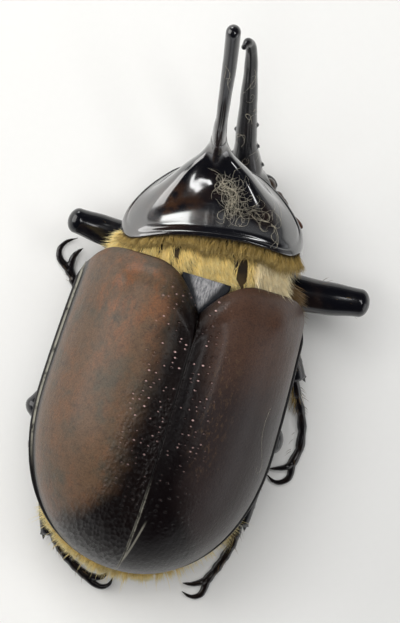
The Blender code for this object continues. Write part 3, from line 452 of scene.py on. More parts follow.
@dataclass(frozen=True)
class HairFinish(Surface):
    """Hair that is darker at the root and paler towards the tip, with strands of uneven tone."""

    root: Colour
    shaft: Colour
    tip: Colour
    shade: float = 0.62
    rough: float = 0.42

    def sockets(self, graph: Graph, place: Value) -> dict:
        """The shader's inputs, from the position on the piece."""
        along = graph.attribute("along")
        colour = graph.mix(along.step(0.0, 0.5), self.root, self.shaft)
        colour = graph.mix(along.step(0.45, 1.0), colour, self.tip)
        shade = graph.attribute("tone") * 0.5 + graph.noise(place, 1.1, 3.0).step(0.4, 0.65) * 0.5
        darker = tuple(part * 0.35 for part in self.shaft)
        colour = graph.mix(shade * self.shade, colour, darker)
        rough = graph.noise(place, 12.0, 1.0) * 0.2 + (self.rough - 0.1)
        return {"Base Color": colour, "Roughness": rough}


@dataclass(frozen=True)
class EyeFinish(Surface):
    """Polished dark eye with fine facets."""

    name: str = "eye_facets"
    dark: Colour = (0.012, 0.008, 0.006)
    amber: Colour = (0.06, 0.03, 0.012)

    def sockets(self, graph: Graph, place: Value) -> dict:
        """The shader's inputs, from the position on the piece."""
        facets = graph.cells(place, 14.0, 0.25)
        share = facets.step(0.35, 0.6) * 0.5 + graph.noise(place, 1.5) * 0.3
        colour = graph.mix(share, self.dark, self.amber)
        normal = graph.bump(facets, -0.012, 0.7)
        return {"Base Color": colour, "Roughness": graph.noise(place, 5.0) * 0.08 + 0.05, "Normal": normal}


@dataclass(frozen=True)
class FloorFinish(Surface):
    """Pale matt card."""

    name: str = "pale_card"
    tone: Colour = (0.845, 0.84, 0.82)

    def sockets(self, graph: Graph, place: Value) -> dict:
        """The shader's inputs, from the position on the piece."""
        fibre = graph.noise(place, 1.5, 4.0)
        darker = tuple(part * 0.96 for part in self.tone)
        colour = graph.mix(fibre * 0.5, self.tone, darker)
        return {"Base Color": colour, "Roughness": fibre * 0.1 + 0.75, "Specular IOR Level": 0.2}


def duller_shell(name: str, ior: float, **others: float) -> ShellFinish:
    """Shell with less haze and a weaker coat than the shield's; others are further fields."""
    return ShellFinish(name, haze=0.15, ior=ior, coat_ior=1.5, **others)


class Finish(Enum):
    """Every finish of the beetle, with the record's slot that it belongs to."""

    GLOSS = "shell_black", ShellFinish()
    HORN = "shell_black", duller_shell("horn_black_gloss", 1.55, coat=0.4, pits=0.25, dust_share=0.35)
    STREAKS = "shell_black", StreakFinish()
    CASE = "wing_case", WingCaseFinish()
    LEG = "leg_black", duller_shell("leg_black_gloss", 1.5, coat=0.3, gloss=0.15, pits=0.35, dust_share=0.5)
    FOOT = "leg_black", SatinFinish("foot_black", (0.005, 0.004, 0.005), (0.01, 0.006, 0.005), 0.2, 8.0, 0.3)
    BELLY = "underside", SatinFinish("belly_brown", (0.02, 0.01, 0.007), (0.06, 0.024, 0.014), 0.34, 4.0)
    NECK = "hair", SatinFinish("neck_skin", (0.012, 0.008, 0.005), (0.045, 0.028, 0.012), 0.6, 7.0, 0.0)
    ANTENNA = "antenna", SatinFinish("antenna_brown", (0.035, 0.013, 0.008), (0.085, 0.03, 0.014), grain=9.0)
    EYE = "eye", EyeFinish()
    GOLD = "hair", HairFinish("hair_gold", (0.03, 0.018, 0.006), (0.4, 0.27, 0.075), (0.62, 0.46, 0.18))
    STRAW = "hair", HairFinish(
        "hair_straw", (0.22, 0.15, 0.045), (0.95, 0.71, 0.25), (0.98, 0.86, 0.46), shade=0.42
    )
    PALE = "hair", HairFinish(
        "hair_pale", (0.4, 0.28, 0.11), (0.93, 0.76, 0.43), (0.96, 0.87, 0.62), shade=0.45
    )
    TAN = "hair", HairFinish("hair_tan", (0.045, 0.022, 0.008), (0.2, 0.115, 0.04), (0.34, 0.22, 0.09))
    LINT = "hair", HairFinish(
        "lint_pale", (0.55, 0.5, 0.38), (0.66, 0.6, 0.46), (0.74, 0.68, 0.54), rough=0.6
    )

    @property
    def slot(self) -> str:
        """The record's material slot."""
        return self.value[0]

    @property
    def material(self) -> bpy.types.Material:
        """The finish's material."""
        return self.value[1].material()


@dataclass
class Path:
    """A smooth curve through given points."""

    points: Sequence

    def __post_init__(self) -> None:
        """Adds the two outer points that the ends bend towards."""
        given = [Vector(point) for point in self.points]
        self._ends = [given[0] * 2 - given[1], *given, given[-1] * 2 - given[-2]]

    def at(self, t: float) -> Vector:
        """Point at t, from 0 to 1 over the whole curve."""
        spans = len(self.points) - 1
        i = min(int(t * spans), spans - 1)
        return curve(*self._ends[i : i + 4], t * spans - i)

    def heading(self, t: float) -> Vector:
        """Direction of the curve at t."""
        return (self.at(min(1.0, t + 0.01)) - self.at(max(0.0, t - 0.01))).normalized()


def value_at(values: Sequence[float], t: float) -> float:
    """Value at t, from 0 to 1 over the whole list, eased between its entries."""
    spans = len(values) - 1
    i = min(int(t * spans), spans - 1)
    return blend(values[i], values[i + 1], ease(t * spans - i, 0.0, 1.0))


def circle(u: float) -> tuple[float, float]:
    """Cosine and sine of the share u of a full turn."""
    angle = 2 * math.pi * u
    return math.cos(angle), math.sin(angle)


def sided(side: int, *points: tuple) -> list[Vector]:
    """Points given for the right side, with x turned to the given side."""
    return [Vector((side * x, y, z)) for x, y, z in points]


def sheet(columns: int, rows: int, place: Callable[[float, float], Vector]) -> bmesh.types.BMesh:
    """An open sheet: place(u, v) gives each point, with u and v from 0 to 1."""
    bm = bmesh.new()
    bmesh.ops.create_grid(bm, x_segments=columns, y_segments=rows, size=0.5)
    for vert in bm.verts:
        vert.co = place(vert.co.x + 0.5, vert.co.y + 0.5)
    return bm


def wrapped(columns: int, rows: int, place: Callable[[float, float], Vector]) -> bmesh.types.BMesh:
    """A sheet bent round into a tube, u round it and v along it, with its ends closed."""
    bm = sheet(columns, rows, place)
    bmesh.ops.remove_doubles(bm, verts=bm.verts, dist=0.0005)
    bmesh.ops.dissolve_degenerate(bm, dist=0.0001, edges=bm.edges)
    bmesh.ops.holes_fill(bm, edges=[edge for edge in bm.edges if edge.is_boundary])
    bmesh.ops.recalc_face_normals(bm, faces=bm.faces)
    return bm


@dataclass
class Tube:
    """A limb of oval sections along a path."""

    path: Path
    widths: Sequence[float]
    heights: Sequence[float]
    up: Vector
    columns: int = 20
    rows: int = 40
    power: float = 2.0
    cap: float = 0.1
    blunt: tuple[float, float] = (1.0, 1.0)

    def mesh(self) -> bmesh.types.BMesh:
        """The closed limb as a bmesh."""
        return wrapped(self.columns, self.rows, self.point)

    def point(self, u: float, v: float) -> Vector:
        """Point of the surface: u round the limb, v along it with both round ends."""
        size, push = 1.0, 0.0
        if v < self.cap:
            angle = (1 - v / self.cap) * math.pi / 2
            size, push = math.cos(angle), -math.sin(angle) * self.blunt[0]
        elif v > 1 - self.cap:
            angle = (1 - (1 - v) / self.cap) * math.pi / 2
            size, push = math.cos(angle), math.sin(angle) * self.blunt[1]
        t = min(1.0, max(0.0, (v - self.cap) / (1 - 2 * self.cap)))
        along = self.path.heading(t)
        side = along.cross(self.up).normalized()
        top = side.cross(along)
        width, height = value_at(self.widths, t), value_at(self.heights, t)
        flat, high = circle(u)
        across = side * (signed_power(flat, 2 / self.power) * width * size)
        raised = top * (signed_power(high, 2 / self.power) * height * size)
        return self.path.at(t) + across + raised + along * (push * min(width, height))


def tube(points: Sequence, widths: Sequence, heights: Sequence, up: Sequence, **options) -> bmesh.types.BMesh:
    """A closed limb through points; options are the other fields of Tube."""
    return Tube(Path(points), widths, heights, Vector(up), **options).mesh()


def rod(
    points: Sequence, sizes: Sequence, up: Sequence, columns: int, rows: int, cap: float = 0.1
) -> bmesh.types.BMesh:
    """A limb that is as wide as high."""
    return tube(points, sizes, sizes, up, columns=columns, rows=rows, cap=cap)


def spike(points: Sequence, width: float, up: Vector) -> bmesh.types.BMesh:
    """A pointed, slightly bent spike."""
    return rod(points, [width * share for share in (1.0, 0.92, 0.6, 0.18)], up, 10, 16)


def ball(centre: Sequence, radii: Sequence, columns: int, rows: int) -> bmesh.types.BMesh:
    """An egg with its poles on z."""
    bm = bmesh.new()
    bmesh.ops.create_uvsphere(bm, u_segments=columns, v_segments=rows, radius=1.0)
    bmesh.ops.scale(bm, vec=Vector(radii), verts=bm.verts)
    bmesh.ops.translate(bm, vec=Vector(centre), verts=bm.verts)
    return bm


def stored(bm: bmesh.types.BMesh) -> bpy.types.Mesh:
    """A mesh of a bmesh, which is given up."""
    mesh = bpy.data.meshes.new("stored")
    bm.to_mesh(mesh)
    bm.free()
    return mesh


def joined(meshes: Sequence[bmesh.types.BMesh], place: Matrix = Matrix.Identity(4)) -> bpy.types.Mesh:
    """One mesh of several bmeshes, moved by a matrix, in millimetres."""
    whole = bmesh.new()
    for bm in meshes:
        bmesh.ops.transform(bm, matrix=place, verts=bm.verts)
        part = stored(bm)
        whole.from_mesh(part)
        bpy.data.meshes.remove(part)
    return stored(whole)


def closed_skin(
    columns: int, rows: int, place: Callable[[float, float], Vector], matrix: Matrix = Matrix.Identity(4)
) -> bpy.types.Mesh:
    """A closed mesh whose points place(u, v) gives, moved by a matrix."""
    return joined([wrapped(columns, rows, place)], matrix)


def linked(name: str, data: bpy.types.ID) -> bpy.types.Object:
    """A new object in the scene."""
    obj = bpy.data.objects.new(name, data)
    bpy.context.scene.collection.objects.link(obj)
    return obj


def worked(mesh: bpy.types.Mesh, steps: dict[str, dict]) -> bpy.types.Mesh:
    """The mesh after one modifier of each kind in steps, with the settings given there."""
    obj = linked("working", mesh)
    for kind, settings in steps.items():
        modifier = obj.modifiers.new(kind, kind)
        for name, setting in settings.items():
            setattr(modifier, name, setting)
    bpy.context.view_layer.update()
    graph = bpy.context.evaluated_depsgraph_get()
    made = bpy.data.meshes.new_from_object(obj.evaluated_get(graph))
    bpy.data.objects.remove(obj, do_unlink=True)
    return made


def melted(mesh: bpy.types.Mesh, voxel: float, rounds: int) -> bpy.types.Mesh:
    """Closed pieces melted into one skin on a grid in millimetres, then smoothed some rounds."""
    remesh, smooth = {"mode": "VOXEL", "voxel_size": voxel}, {"factor": 0.5, "iterations": rounds}
    return worked(mesh, {"REMESH": remesh, "SMOOTH": smooth})


def grown(mesh: bpy.types.Mesh, thickness: float) -> bpy.types.Mesh:
    """An open sheet thickened against its normals, in millimetres."""
    return worked(mesh, {"SOLIDIFY": {"thickness": thickness, "offset": -1.0}})


def tree_of(*meshes: bpy.types.Mesh) -> BVHTree:
    """A search tree of meshes in millimetres."""
    bm = bmesh.new()
    for mesh in meshes:
        bm.from_mesh(mesh)
    tree = BVHTree.FromBMesh(bm)
    bm.free()
    return tree


def show(name: str, mesh: bpy.types.Mesh, finish: Finish, *nodes: str) -> None:
    """Stores a mesh as a finished piece that rides on the root body.

    Args:
        name: the piece's name.
        mesh: its mesh, in millimetres of the beetle's own frame.
        finish: its finish.
        nodes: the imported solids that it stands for.
    """
    mesh.transform(Matrix.Translation(SHIFT) @ Matrix.Scale(MM, 4))
    mesh.materials.clear()
    mesh.materials.append(finish.material)
    mesh.polygons.foreach_set("use_smooth", [True] * len(mesh.polygons))
    obj = linked(name, mesh)
    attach(obj, "root")
    if nodes:
        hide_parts(*nodes)
    finish.slot
    LOG.info("%s: %d faces, for %s", name, len(mesh.polygons), ", ".join(nodes) or "no node")


@dataclass
class Strands:
    """Many thin hairs joined in one mesh, each a slender closed solid along its own marks."""

    seed: int
    width: float = 0.045
    rings: int = 5
    taper: float = 1.8
    root_share: float = 0.75
    flatness: float = 0.7
    patch_size: float = 0.003
    marks: list = field(default_factory=list)
    thickness: list = field(default_factory=list)
    patches: list = field(default_factory=list)

    def __post_init__(self) -> None:
        """Starts the random draws of this piece."""
        self.rng = random.Random(self.seed)

    def add(
        self, root: Vector, start: Vector, end: Vector, length: float,
        patch: tuple, thick: float, pull: Sequence = (0.0, 0.0, 0.0),
    ) -> None:
        """Adds one hair.

        Args:
            root: where it starts, a little under the skin.
            start: its direction at the root.
            end: its direction at the tip.
            length: its length.
            patch: its root's place on the unwrap of the skin.
            thick: its width against the usual one.
            pull: how far its tip is moved to join its neighbours.
        """
        along = np.linspace(0.0, 1.0, self.rings + 1)[:, None]
        first, last = np.array(start), np.array(end)
        marks = np.array(root) + length * (first * along + (last - first) * along**2 / 2)
        self.follow(marks + np.array(pull) * along**1.6, patch, thick)

    def follow(self, marks: Sequence, patch: tuple, thick: float) -> None:
        """Adds one hair along given marks, one more than the rings."""
        self.marks.append(np.array(marks, float))
        self.thickness.append(thick)
        self.patches.append(patch)

    def mesh(self) -> bpy.types.Mesh:
        """All the hairs as one mesh in millimetres, with its map and what the hair finish reads."""
        rings = self.rings
        marks = np.stack(self.marks)
        count = len(marks)
        draws = np.random.default_rng(self.seed)
        headings = np.gradient(marks, axis=1)
        headings /= np.linalg.norm(headings, axis=2)[:, :, None] + 1e-9
        side = np.cross(headings[:, 0], draws.normal(size=(count, 3)))
        side /= np.linalg.norm(side, axis=1)[:, None] + 1e-9
        thick = np.array(self.thickness)[:, None] * self.width
        along = np.linspace(0.0, 1.0, rings + 1)
        per = rings * 3 + 1
        points = np.zeros((count, per, 3))
        for k in range(rings):
            top = np.cross(side, headings[:, k])
            size = thick * (1 - (k / rings) ** self.taper) * (self.root_share if k == 0 else 1.0)
            for corner in range(3):
                flat, high = circle(corner / 3)
                offset = side * flat + top * (high * self.flatness)
                points[:, k * 3 + corner] = marks[:, k] + offset * size
        points[:, -1] = marks[:, -1]
        faces = [(0, 2, 1)]
        for k in range(rings - 1):
            for corner in range(3):
                a, b = k * 3 + corner, k * 3 + (corner + 1) % 3
                faces += [(a, b, b + 3), (a, b + 3, a + 3)]
        last = (rings - 1) * 3
        faces += [(last + corner, last + (corner + 1) % 3, per - 1) for corner in range(3)]
        every = (np.array(faces)[None] + np.arange(count)[:, None, None] * per).reshape(-1, 3)
        mesh = bpy.data.meshes.new("strands")
        mesh.from_pydata(points.reshape(-1, 3).tolist(), [], every.tolist())
        fraction = np.append(np.repeat(along[:-1], 3), 1.0)
        mesh.attributes.new("along", "FLOAT", "POINT").data.foreach_set("value", np.tile(fraction, count))
        tone = np.repeat(draws.random(count), per)
        mesh.attributes.new("tone", "FLOAT", "POINT").data.foreach_set("value", tone)
        patch = np.array(self.patches, float).reshape(count, 1, 2)
        corner_u = np.append(np.tile([0.0, 0.5, 1.0], rings), 0.5)
        spread = np.stack([corner_u, fraction], axis=1)[None] * self.patch_size
        uv = (patch + spread).reshape(-1, 2)
        mesh.uv_layers.new(name="OFBake").data.foreach_set("uv", uv[every.reshape(-1)].reshape(-1))
        return mesh


def hit(tree: BVHTree, start: Vector, towards: Vector) -> tuple[Vector | None, Vector | None]:
    """Where a ray from start first meets the surface, with the normal there."""
    place, normal, _, _ = tree.ray_cast(start, (towards - start).normalized())
    return place, normal


@dataclass
class WingCases:
    """The two wing cases, the small shield between them and their rims."""

    margin_z: float = 10.3
    dome: float = 9.7
    base_drop: float = 1.6
    shield_tip_y: float = 8.65
    shield_base_y: float = 11.6
    rim: float = 0.3
    rolled: float = 0.94
    wall: float = 0.85
    seam: float = 0.03
    groove: float = 0.11
    groove_u: float = 0.915
    bead: float = 0.015
    bead_x: float = 0.22
    swale: float = 0.24
    swale_x: float = 1.15

    def shares(self, y: float) -> tuple[float, float]:
        """Shares of the way from the widest place to the plan's end, and to the base, at which y lies."""
        back, ahead = (WIDEST_Y - y) / (WIDEST_Y - PLAN_END_Y), (y - WIDEST_Y) / (BASE_Y - WIDEST_Y)
        return min(1.0, max(0.0, back)), max(0.0, ahead)

    def half_width_at(self, y: float) -> float:
        """Half width of both cases together."""
        back, ahead = self.shares(y)
        narrow = 1 - NARROWING * ahead**NARROWING_POWER
        return HALF_WIDTH * (1 - back**PLAN_POWER) ** (1 / PLAN_POWER) * narrow

    def dome_at(self, y: float) -> float:
        """Height over the margin on the middle line."""
        back, ahead = self.shares(y)
        return self.dome * (1 - back**2.5) ** 0.4 * (1 - 0.1 * ahead**2)

    def front_y(self, a: float) -> float:
        """Front edge, for a from 0 on the middle line to 1 at the shoulder."""
        if a < 0.5:
            return BASE_Y - (BASE_Y - self.shield_tip_y) * (1 - a / 0.5) ** 2.2
        return BASE_Y - 2.0 * ((a - 0.5) / 0.5) ** 6.5

    def point(self, a: float, y: float, inset: float = 0.0) -> Vector:
        """Point on the right case, or on the dome that lies inset below it."""
        width = max(self.half_width_at(y) - inset, 0.1)
        dome = max(self.dome_at(y) - inset, 0.1)
        drop = max(0.0, 1 - (self.front_y(a) - y) / 3.0)
        shoulder = 0.45 * math.exp(-((a - 0.74) ** 2 / 0.012 + (y - 9.6) ** 2 / 2.4))
        height = dome * max(0.0, 1 - a**2.3) ** 0.5 + (shoulder if inset == 0 else 0.0)
        return Vector((a * width, y, self.margin_z + height - self.base_drop * drop**2 * (1 - a**6)))

    def outer(self, u: float, v: float) -> Vector:
        """Point of the right case's outer face: u from the seam to the rim, v from base to apex."""
        a = math.sin(min(1.0, u / self.rolled) * math.pi / 2)
        t = math.sin(v * math.pi / 2) ** 1.15
        y = blend(self.front_y(a), APEX_Y, t)
        point = self.point(a, y)
        over = max(0.0, (u - self.rolled) / (1 - self.rolled))
        fade = (1 - t**12) * ease(t, -0.01, 0.06)
        point.x += self.rim * fade * math.sin(over * math.pi * 0.75) * 1.15
        point.z -= 0.34 * (1 - math.cos(over * math.pi * 0.5)) + over * 0.05
        groove = self.groove * bell(u - self.groove_u, 0.014) * fade
        bead = self.bead * bell(point.x - self.bead_x, math.sqrt(0.02)) * (1 - ease(t, 0.9, 1.0))
        swale = self.swale * bell(point.x - self.swale_x, math.sqrt(0.9)) * ease(y, 9.0, 6.5)
        point.z += bead - swale * ease(y, -12.5, -8.0) - groove * 0.5 - 0.16 * bell(t, 0.022)
        point.x += self.seam - groove * 0.8
        return point

    def case(self, mirrored: bool) -> bpy.types.Mesh:
        """One wing case."""
        bm = sheet(96, 150, self.outer)
        if mirrored:
            bmesh.ops.scale(bm, vec=(-1, 1, 1), verts=bm.verts)
        bmesh.ops.remove_doubles(bm, verts=bm.verts, dist=0.001)
        bmesh.ops.recalc_face_normals(bm, faces=bm.faces)
        bm.faces.ensure_lookup_table()
        top = max(bm.faces, key=lambda face: face.calc_center_median().z)
        if top.normal.z < 0:
            bmesh.ops.reverse_faces(bm, faces=bm.faces)
        return grown(joined([bm]), self.wall)

    def shield(self) -> bpy.types.Mesh:
        """The scutellum: a smooth rounded triangle between the bases of the cases."""

        def place(u: float, v: float) -> Vector:
            """Point of the shield from its base, v = 0, to its tip."""
            y = blend(self.shield_base_y, self.shield_tip_y - 0.25, v)
            width = 2.05 * (1 - ease(v, 0.05, 1.35)) * (1 - v**6) + 0.06
            top = 17.0 - 0.15 * (y - self.shield_tip_y)
            across, deep = circle(u)
            rise = signed_power(deep, 0.6) * (0.3 if deep > 0 else 0.9)
            return Vector((signed_power(across, 0.8) * width, y, top - 0.4 + rise))

        return closed_skin(40, 24, place)

    def build(self) -> dict[str, BVHTree]:
        """Makes and dresses the three pieces, and gives the cases' skin."""
        cases = {"right": self.case(False), "left": self.case(True)}
        trees = {"cases": tree_of(*cases.values())}
        for side, mesh in cases.items():
            show(f"wing_case_{side}", mesh, Finish.CASE, f"elytron_{side}")
        show("small_shield", self.shield(), Finish.STREAKS, "scutellum")
        return trees


@dataclass
class Trunk:
    """Neck, hind thorax, abdomen and its last plate."""

    cases: WingCases
    belly: float = 5.0
    inset: float = 1.48
    front_y: float = 8.8
    abdomen_y: float = -3.0
    rise_y: float = -4.0
    rear_y: float = -11.2
    tail_y: float = -13.75
    collar_y: float = 11.6
    collar_z: float = 15.2
    neck_y: float = 14.9
    gap: float = 0.06
    plates: int = 5

    def belly_z(self, y: float) -> float:
        """Lowest level of the trunk, which rises to the rear."""
        share = max(0.0, (self.rise_y - y) / (self.rise_y - self.rear_y))
        return self.belly + 2.2 * share**1.8

    def section(self, u: float, y: float) -> Vector:
        """Point on the trunk's section at y."""
        across, deep = circle(u)
        width = max(self.cases.half_width_at(y) - self.inset, 0.5)
        margin = self.cases.margin_z
        if deep > 0:
            point = self.cases.point(abs(across), y, self.inset)
            point.z -= 0.4
        else:
            depth = margin - self.belly_z(y)
            point = Vector((0, y, margin - depth * (1 - abs(across) ** 2.6) ** 0.5))
        point.x = across * width
        return point

    def thorax(self) -> bpy.types.Mesh:
        """The hind thorax, with a groove along its middle and one across each side."""

        def place(u: float, v: float) -> Vector:
            """Point of the thorax, v from its front to its rear."""
            y = blend(self.front_y, self.abdomen_y + self.gap, v)
            point = self.section(u, y)
            if point.z < self.cases.margin_z - 1.0:
                point.z += 0.16 * bell(point.x, 0.28) + 0.12 * bell(abs(point.x) - 5.6 - 0.18 * y, 0.22)
                point.z += 0.2 * bell(y + 1.9, 0.25) * ease(abs(point.x), 1.0, 2.5)
            ends = 0.35 * (ease(v, 0.03, 0.0) + ease(v, 0.97, 1.0))
            point.z += ends if point.z < self.cases.margin_z else 0.0
            return point

        return closed_skin(120, 60, place)

    def abdomen(self) -> bpy.types.Mesh:
        """The abdomen, its plates overlapping to the rear."""

        def place(u: float, v: float) -> Vector:
            """Point of the abdomen, v from its front to its rear."""
            y = blend(self.abdomen_y, self.rear_y - 0.1, v)
            point = self.section(u, y)
            share = v * self.plates - int(min(v * self.plates, self.plates - 1e-6))
            if point.z < self.cases.margin_z:
                low = ease(self.cases.margin_z - point.z, 0.2, 1.5)
                point.z -= low * (0.28 * share**0.8 - 0.1 * ease(share, 0.9, 1.0))
            return point

        return closed_skin(120, 100, place)

    def tail(self) -> bpy.types.Mesh:
        """The last plate of the abdomen."""

        def place(u: float, v: float) -> Vector:
            """Point of the plate, v from its front to its rear."""
            y = blend(self.rear_y - 0.08, self.tail_y, math.sin(v * math.pi / 2))
            width = max(self.cases.half_width_at(y) - 1.1, 0.8)
            depth = blend(self.cases.margin_z - self.belly_z(self.rear_y) - 0.2, 0.9, v**2.2)
            top = self.cases.margin_z - 0.6
            across, deep = circle(u)
            drop = depth * signed_power(-deep, 0.8) if deep < 0 else 0.02
            return Vector((across * width, y, top - drop))

        return closed_skin(64, 30, place)

    def neck(self) -> bpy.types.Mesh:
        """The neck under the ruff."""

        def place(u: float, v: float) -> Vector:
            """Point of the neck, v from its rear to its front."""
            y = blend(self.front_y + self.gap, self.neck_y, v)
            if y < self.collar_y:
                point = self.section(u, y)
                if point.z > self.cases.margin_z:
                    point.z = min(point.z, self.collar_z)
                point.x *= 0.97 - 0.05 * (y - self.front_y)
                return point
            t = (y - self.collar_y) / (self.neck_y - self.collar_y)
            width = blend(7.6, 6.2, ease(t, 0.0, 1.0))
            low, high = blend(7.0, 9.4, t), blend(self.collar_z, 15.5, t)
            across, deep = (signed_power(part, 0.8) for part in circle(u))
            return Vector((across * width - 0.3, y, (low + high) / 2 + deep * (high - low) / 2))

        return closed_skin(96, 48, place)

    def build(self) -> dict[str, BVHTree]:
        """Makes and dresses the four pieces, and gives the skins that hair grows from."""
        trees = {}
        for skin, mesh, name, finish, node in (
            ("neck", self.neck(), "neck_skin", Finish.NECK, "mesothorax"),
            ("abdomen", self.abdomen(), "belly_plates", Finish.BELLY, "abdomen"),
            ("tail", self.tail(), "tail_plate", Finish.BELLY, "pygidium"),
            ("thorax", self.thorax(), "hind_chest", Finish.BELLY, "metathorax"),
        ):
            trees[skin] = tree_of(mesh)
            show(name, mesh, finish, node)
        return trees


# Where the shield stands in the beetle's own frame, and the head with it.
PROTHORAX = Matrix.Translation((-0.75, 15.0, 17.4)) @ turned(z=5.0) @ turned(x=-40.0) @ turned(y=-8.0)
HEAD = PROTHORAX @ Matrix.Translation((1.5, 11.2, -6.6)) @ turned(z=9.0) @ turned(x=-4.0)


@dataclass
class Prothorax:
    """The domed shield with its horn, and the plate below that carries the fore legs."""

    plan: tuple = (
        (0.0, 0.42), (2.6, 0.42), (4.5, 0.42), (5.9, 0.55), (6.95, 1.15), (7.62, 2.6),
        (7.4, 4.1), (6.35, 5.6), (4.95, 7.1), (3.1, 8.6), (0.0, 9.4),
    )
    length: float = 9.4
    height: float = 4.5
    front_height: float = 3.1
    reach: float = 7.95
    floor: float = -5.3
    depth: float = 4.2
    flank_slope: float = 2.1
    rear_slope: float = 4.6
    front_slope: float = 2.4
    horn_base: tuple = (-0.38, 7.4, 4.0)
    horn_root: tuple = (0.62, 0.95)
    horn_path: tuple = ((-2.85, 24.7, 17.7), (-3.24, 26.1, 19.4), (-3.95, 28.9, 22.2), (-4.62, 31.2, 24.6))
    horn_widths: tuple = (0.58, 0.49, 0.53, 0.6, 0.62)
    horn_depths: tuple = (0.92, 0.76, 0.7, 0.68, 0.7)

    def outline(self, angle: float) -> tuple[float, float]:
        """Plan outline: angle 0 is the right side and a quarter turn the front."""
        given = [Vector(point) for point in self.plan]
        ends = [given[1] * Vector((-1, 1)), *given, given[-2] * Vector((-1, 1))]
        spans = len(given) - 1
        share = spans * (0.5 + math.asin(math.sin(angle)) / math.pi)
        i = min(int(share), spans - 1)
        point = curve(*ends[i : i + 4], share - i)
        return math.copysign(point.x, math.cos(angle)), point.y

    def disc(self, x: float, y: float) -> float:
        """Height of the dome over the level of its side edges."""
        top = blend(self.height, self.front_height, (max(y, 0.0) / self.length) ** 1.5)
        return top * (1 - min(1.0, abs(x) / self.reach) ** 2.4) ** 0.5 - self.height

    def ring(self, angle: float, f: float) -> Vector:
        """Point of the upper side: f is 1 on the outline and 0 at the horn's root."""
        outer_x, outer_y = self.outline(angle)
        base_x, base_y, base_z = self.horn_base
        inner_x = base_x + self.horn_root[0] * math.cos(angle)
        inner_y = base_y + self.horn_root[1] * math.sin(angle)
        x, y = blend(inner_x, outer_x, f), blend(inner_y, outer_y, f)
        end_slope = self.rear_slope if math.sin(angle) < 0 else self.front_slope
        slope = blend(self.flank_slope, end_slope, math.sin(angle) ** 2)
        flared = blend(f**0.72, f, ease(f, 0.0, 0.4))
        z = self.disc(x, y) + (base_z - self.disc(0, base_y)) * (1 - flared) ** slope
        z -= 0.38 * ease(f, 0.84, 1.02) ** 1.4 * ease(-math.sin(angle), 0.0, 0.5)
        return Vector((x, y, blend(base_z, z, ease(f, 0.0, 0.02))))

    def edge(self, angle: float) -> tuple[Vector, float]:
        """Point of the outline, and the y of the floor's edge below it."""
        edge = self.ring(angle, 1.0)
        rear = max(0.0, 1 - edge.y / 3.0)
        return edge, blend(edge.y * 0.97 + 0.1, 2.7, rear)

    def wall(self, angle: float, t: float) -> Vector:
        """Point of the shield's side wall, t from its floor to its edge."""
        edge, low_y = self.edge(angle)
        return blend(Vector((edge.x * 0.95, low_y, self.floor)), edge, t)

    def shield(self) -> bpy.types.Mesh:
        """Shield and horn as one skin."""
        to_local = PROTHORAX.inverted()
        start = Vector(self.horn_base) + Vector((-0.02, -0.05, 1.1))
        path = Path([start] + [to_local @ Vector(point) for point in self.horn_path])
        horn = Tube(path, self.horn_widths, self.horn_depths, Vector((0, -1, 0)), cap=0.06)
        rim_share, disc_share = 0.08, 0.5

        def place(u: float, v: float) -> Vector:
            """Point of the skin, v from the floor of the shield to the tip of its horn."""
            angle = 2 * math.pi * u
            behind = bell(u - 0.75, 0.05)
            if v < rim_share:
                t = v / rim_share
                point = self.wall(angle, t)
                swell = 0.16 * math.sin(t * math.pi)
                point.x += math.copysign(swell, point.x) * min(1.0, abs(point.x) / 2)
                return point
            if v < disc_share:
                t = (v - rim_share) / (disc_share - rim_share)
                f = (1 - t) ** 1.35
                point = self.ring(angle, f)
                hollow = 0.16 * behind * ease(f, 0.6, 0.1) * ease(f, 0.0, 0.1)
                point.z -= 0.12 * bell(f - 0.94, 0.012) + hollow
                return point
            t = (v - disc_share) / (1 - disc_share)
            along = t * (1 - horn.cap) + horn.cap
            body = horn.point(1 - u, along)
            middle = path.at(min(1.0, max(0.0, (along - horn.cap) / (1 - 2 * horn.cap))))
            body = blend(body, middle, 0.2 * behind * ease(t, 0.0, 0.1) * ease(t, 0.75, 0.3))
            return blend(self.ring(angle, 0.0), body, ease(t, 0.0, 0.12))

        return closed_skin(128, 250, place, PROTHORAX)

    def chest(self) -> bpy.types.Mesh:
        """The underside of the prothorax."""

        def place(u: float, v: float) -> Vector:
            """Point of the underside, v from its upper edge down."""
            edge, y = self.edge(2 * math.pi * u)
            fold = 0.14 * bell(v - 0.45, 0.04)
            x = edge.x * (0.94 - fold * 0.15) * (1 - 0.45 * v**1.7)
            return Vector((x, blend(y, 6.2, 0.42 * v), self.floor - 0.06 - self.depth * v))

        return closed_skin(80, 36, place, PROTHORAX)

    def build(self) -> dict[str, BVHTree]:
        """Makes and dresses both pieces, and gives their skins."""
        shield, chest = self.shield(), self.chest()
        trees = {"shield": tree_of(shield), "chest": tree_of(chest)}
        show("shield_and_horn", shield, Finish.GLOSS, "pronotum", "pronotal_horn")
        show("fore_chest", chest, Finish.BELLY, "prosternum")
        return trees


